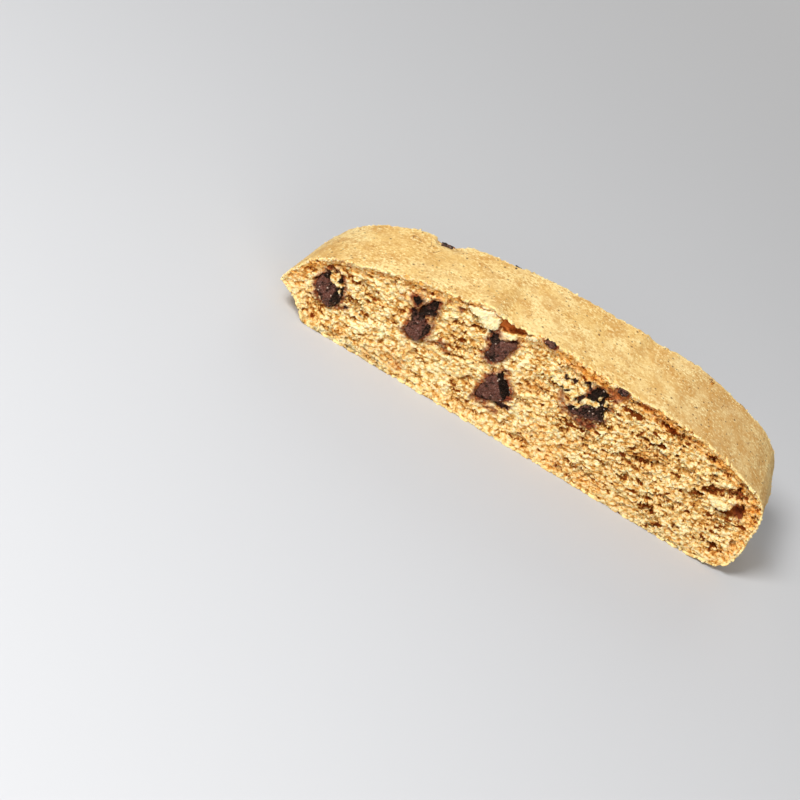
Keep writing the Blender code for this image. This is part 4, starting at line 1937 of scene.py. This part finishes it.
    def lump(self, name: str, number: int, material: bpy.types.Material) -> bpy.types.Object:
        """Builds a bit of chip that breaks through the lip, cut flush with the face.

        Args:
            name: The chip's node.
            number: Its place in the set, which seeds its roughness.
            material: The chocolate's finish.

        Returns:
            The piece.
        """
        low, high = (np.array(corner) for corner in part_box(name))
        low[2] = high[2] - (high[2] - low[2]) * self.lump_height
        high[2] -= self.lump_drop
        low[[0, 2]] += self.lump_trim
        high[0] -= self.lump_trim
        middle, reach = (low + high) / 2, (high - low) / 2
        tall = np.linspace(0, math.pi, self.lump_rows + 1)[1:-1]
        turn = np.linspace(0, 2 * math.pi, 2 * self.lump_rows, endpoint=False)
        steep, flat = np.meshgrid(tall, turn, indexing="ij")
        toward = [np.sin(steep) * np.cos(flat), np.sin(steep) * np.sin(flat), np.cos(steep)]
        toward = np.vstack([np.stack(toward, -1).reshape(-1, 3), [[0, 0, 1], [0, 0, -1]]])
        boxy = np.sign(toward) * np.abs(toward) ** self.lump_boxiness
        rough = [1 + 0.45 * wave(t + number, 0.8) + 0.2 * wave(t + 2 * number, 0.3) for t in toward]
        points = middle + boxy * reach * self.lump_swell * np.array(rough)[:, None]
        faces = capped_rows(len(tall), len(turn))
        piece = mesh_object(f"{name}_broken", np.clip(points, low, high), faces)
        tone = np.clip([0.55 + 1.3 * wave(t + 3 * number, 0.6) for t in toward], 0, 1)
        return self.dressed(piece, name, tone, material)

    def dressed(
        self, piece: bpy.types.Object, name: str, tone: np.ndarray, material: bpy.types.Material
    ) -> bpy.types.Object:
        """Finishes a chip's mesh and hides the node that it takes the place of.

        Args:
            piece: The mesh object.
            name: The chip's node.
            tone: How bloomed the chocolate is at each point, 0 to 1.
            material: The chocolate's finish.

        Returns:
            The piece.
        """
        outward(piece)
        keep_numbers(piece, tone=tone)
        piece.data.materials.append(material)
        piece.data.shade_smooth()
        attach(piece, "root")
        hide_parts(name)
        return piece

    def build(
        self, form: SliceForm, marks: dict[Side, FaceMarks], material: bpy.types.Material
    ) -> list[bpy.types.Object]:
        """Makes every chip.

        Args:
            form: The slice's form.
            marks: What each cut face shows, for the crumb that lies over the chips.
            material: The chocolate's finish.

        Returns:
            The pieces.
        """
        faces = {side: FacePlace(side, form.half / MM, marks[side].covers) for side in Side}
        pieces = []
        for i, name in enumerate(self.names):
            if name.startswith(LIP_PREFIX):
                pieces.append(self.lump(name, i, material))
            else:
                pieces.append(self.chip(name, i, faces[self.side(name)], material))
        return pieces


@dataclass
class Grains:
    """Loose grains of crumb that stand up from a cut face or cling to the crust's lip."""

    name: str
    on_lip: bool = False
    per_square_metre: float = 9.0e5
    radius: tuple[float, float] = (0.16 * MM, 0.42 * MM)
    seed: int = 11
    less_painted_shade: float = 0.35

    def recipe(self, material: bpy.types.Material) -> Recipe:
        """The tree that scatters lumpy grains over the crumb.

        Args:
            material: The crumb's finish.

        Returns:
            The recipe.
        """
        r = Recipe(f"{self.name}_scatter")
        density = r.size("Grains a square metre", self.per_square_metre)
        low = r.size("Smallest radius", self.radius[0])
        high = r.size("Largest radius", self.radius[1])
        seed = r.size("Seed", self.seed, "NodeSocketInt")
        spread = r.node(
            "GeometryNodeDistributePointsOnFaces",
            {"distribute_method": "RANDOM"},
            Mesh=r.geometry,
            Density=self.crowding(r, density),
            Seed=seed,
        )
        # Grains count as less deep, so they get less of the crumb's painted shade and stand out lighter than
        # the face under them.
        depth = r.maths("SUBTRACT", r.field("depth"), self.less_painted_shade)
        kept = r.store(spread.outputs["Points"], "depth", depth)
        if self.on_lip:
            kept = r.store(kept, "calm", r.field("lip"))
        ball = r.node("GeometryNodeMeshIcoSphere", None, Radius=1.0, Subdivisions=1).outputs["Mesh"]
        size = r.random(low, high, seed, Draw.NUMBER)
        squash = r.random((0.7, 0.7, 0.7), (1.5, 1.0, 1.1), r.total(seed, 5), Draw.VECTOR)
        turn = r.random((0.0, 0.0, 0.0), (FULL_TURN,) * 3, r.total(seed, 9), Draw.VECTOR)
        placed = r.node(
            "GeometryNodeInstanceOnPoints",
            None,
            Points=kept,
            Instance=ball,
            Rotation=turn,
            Scale=r.vector("SCALE", squash, size),
        )
        r.finish(placed.outputs[0], material)
        return r

    def crowding(self, r: Recipe, density: Any) -> Any:
        """How many grains lie on each place, in clumps, and fewer near the base or in a hollow.

        Args:
            r: The recipe.
            density: Grains a square metre where they lie thickest.

        Returns:
            The socket of the grains a square metre.
        """
        place = r.place_in_mm()
        height = r.part(place, 2)
        clumps = r.noise(place, 0.35, 2.0).outputs[0]
        if self.on_lip:
            thick = r.product(r.ramp(clumps, 0.3, 0.6, 0.2, 1.0), r.ramp(height, 1.0, 2.5))
            return r.product(density, thick, r.ramp(r.field("lip"), 0.45, 1.0))
        edge = r.product(r.ramp(r.field("rim"), 1.0, 0.5, 0.0, 0.6), r.ramp(height, 3.0, 6.0))
        thick = r.product(r.ramp(clumps, 0.35, 0.65, 0.15, 1.0), r.ramp(height, 0.3, 0.6))
        open_face = r.product(r.field("cut"), r.ramp(r.field("hollow"), 1.6, 1.1))
        return r.product(density, r.total(thick, edge), open_face)

    def build(self, ground: bpy.types.Object, material: bpy.types.Material) -> bpy.types.Object:
        """Scatters the grains.

        Args:
            ground: The finished crumb of a face, or the finished crust.
            material: The crumb's finish.

        Returns:
            The piece.
        """
        base = link(bpy.data.objects.new("grain_base", ground.data.copy()))
        piece = self.recipe(material).bake(base, self.name)
        keep_inside(piece)
        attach(piece, "root")
        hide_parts(BISCUIT)
        return piece


@dataclass
class Studio:
    """The plain floor, the soft lights and the camera."""

    floor_size: float = 6.0
    floor_drop: float = 0.02 * MM
    world_light: float = 0.26
    world_tint: tuple = (1.0, 0.985, 0.96, 1.0)

    def floor(self, material: bpy.types.Material) -> bpy.types.Object:
        """Lays the floor under the slice.

        Args:
            material: The floor's finish.

        Returns:
            The piece.
        """
        half = self.floor_size / 2
        corners = [(-half, -half, 0), (half, -half, 0), (half, half, 0), (-half, half, 0)]
        piece = mesh_object("floor", np.array(corners), [(0, 1, 2, 3)])
        piece.data.transform(Matrix.Translation((0, 0, -self.floor_drop)))
        piece.data.materials.append(material)
        return piece

    def light(self, name: str, place: Sequence[float], size: float, power: float, warmth: float) -> None:
        """Hangs a soft square light that looks at the slice.

        Args:
            name: The light's name.
            place: Where it hangs.
            size: Its side.
            power: Its power in watts.
            warmth: 0 for white to 1 for warm white.
        """
        data = bpy.data.lights.new(name, "AREA")
        data.size, data.energy = size, power
        data.color = (1.0, 1.0 - 0.08 * warmth, 1.0 - 0.2 * warmth)
        lamp = link(bpy.data.objects.new(name, data))
        lamp.location = place
        lamp.rotation_euler = (-Vector(place)).to_track_quat("-Z", "Y").to_euler()

    def lights(self) -> None:
        """Hangs the key, fill and rear lights, and a dim pale surround."""
        self.light("key_light", (-0.42, -0.42, 0.58), 0.24, 6.4, 0.12)
        self.light("fill_light", (0.2, -0.8, 0.3), 0.5, 2.5, 0.4)
        self.light("rear_light", (0.1, 0.8, 0.4), 0.5, 1.4, 0.7)
        world = bpy.data.worlds.new("studio")
        world.use_nodes = True
        surround = world.node_tree.nodes["Background"]
        surround.inputs["Color"].default_value = self.world_tint
        surround.inputs["Strength"].default_value = self.world_light
        bpy.context.scene.world = world

    def camera(self) -> None:
        """Sets the camera at the photograph's viewing angle, which is rolled."""
        data = bpy.data.cameras.new("camera")
        data.sensor_width = SENSOR_WIDTH
        data.lens = FOCAL_PIXELS * SENSOR_WIDTH / PICTURE_WIDTH
        data.clip_start, data.clip_end = 0.01, 20.0
        eye, target = Vector(CAMERA_EYE), Vector(CAMERA_TARGET)
        look = (target - eye).to_track_quat("-Z", "Y").to_matrix()
        roll = Matrix.Rotation(math.radians(CAMERA_ROLL), 3, "Z")
        place = Matrix.Translation(eye) @ (look @ roll).to_4x4()
        camera = link(bpy.data.objects.new("camera", data))
        camera.matrix_world = place
        bpy.context.scene.camera = camera

    def build(self) -> None:
        """Sets up everything round the slice."""
        self.floor(FloorFinish().make())
        self.lights()
        self.camera()
        bpy.context.scene.view_settings.view_transform = "Standard"


def main() -> None:
    """Builds the slice's pieces in order, then the studio."""
    logging.basicConfig(level=logging.INFO, format="%(message)s")
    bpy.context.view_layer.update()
    form = SliceForm()
    crumb = CrumbFinish().make()
    chips = ChipSet()
    marks = {Side.FRONT: FRONT_MARKS, Side.BACK: BACK_MARKS}
    pieces = []
    for side in Side:
        face = CrumbFace(side, marks[side]).build(form, chips, crumb)
        pieces += [face, Grains(f"grains_{side.name.lower()}").build(face, crumb)]
    crust = Crust().build(form, chips, CrustFinish().make())
    pieces += [crust, Grains("grains_lip", True, 1.3e6, (0.13 * MM, 0.34 * MM), 23).build(crust, crumb)]
    pieces += chips.build(form, marks, ChocolateFinish().make())
    for piece in pieces:
        log.info("%s: %d faces", piece.name, len(piece.data.polygons))
    Studio().build()


if __name__ == "__main__":
    main()
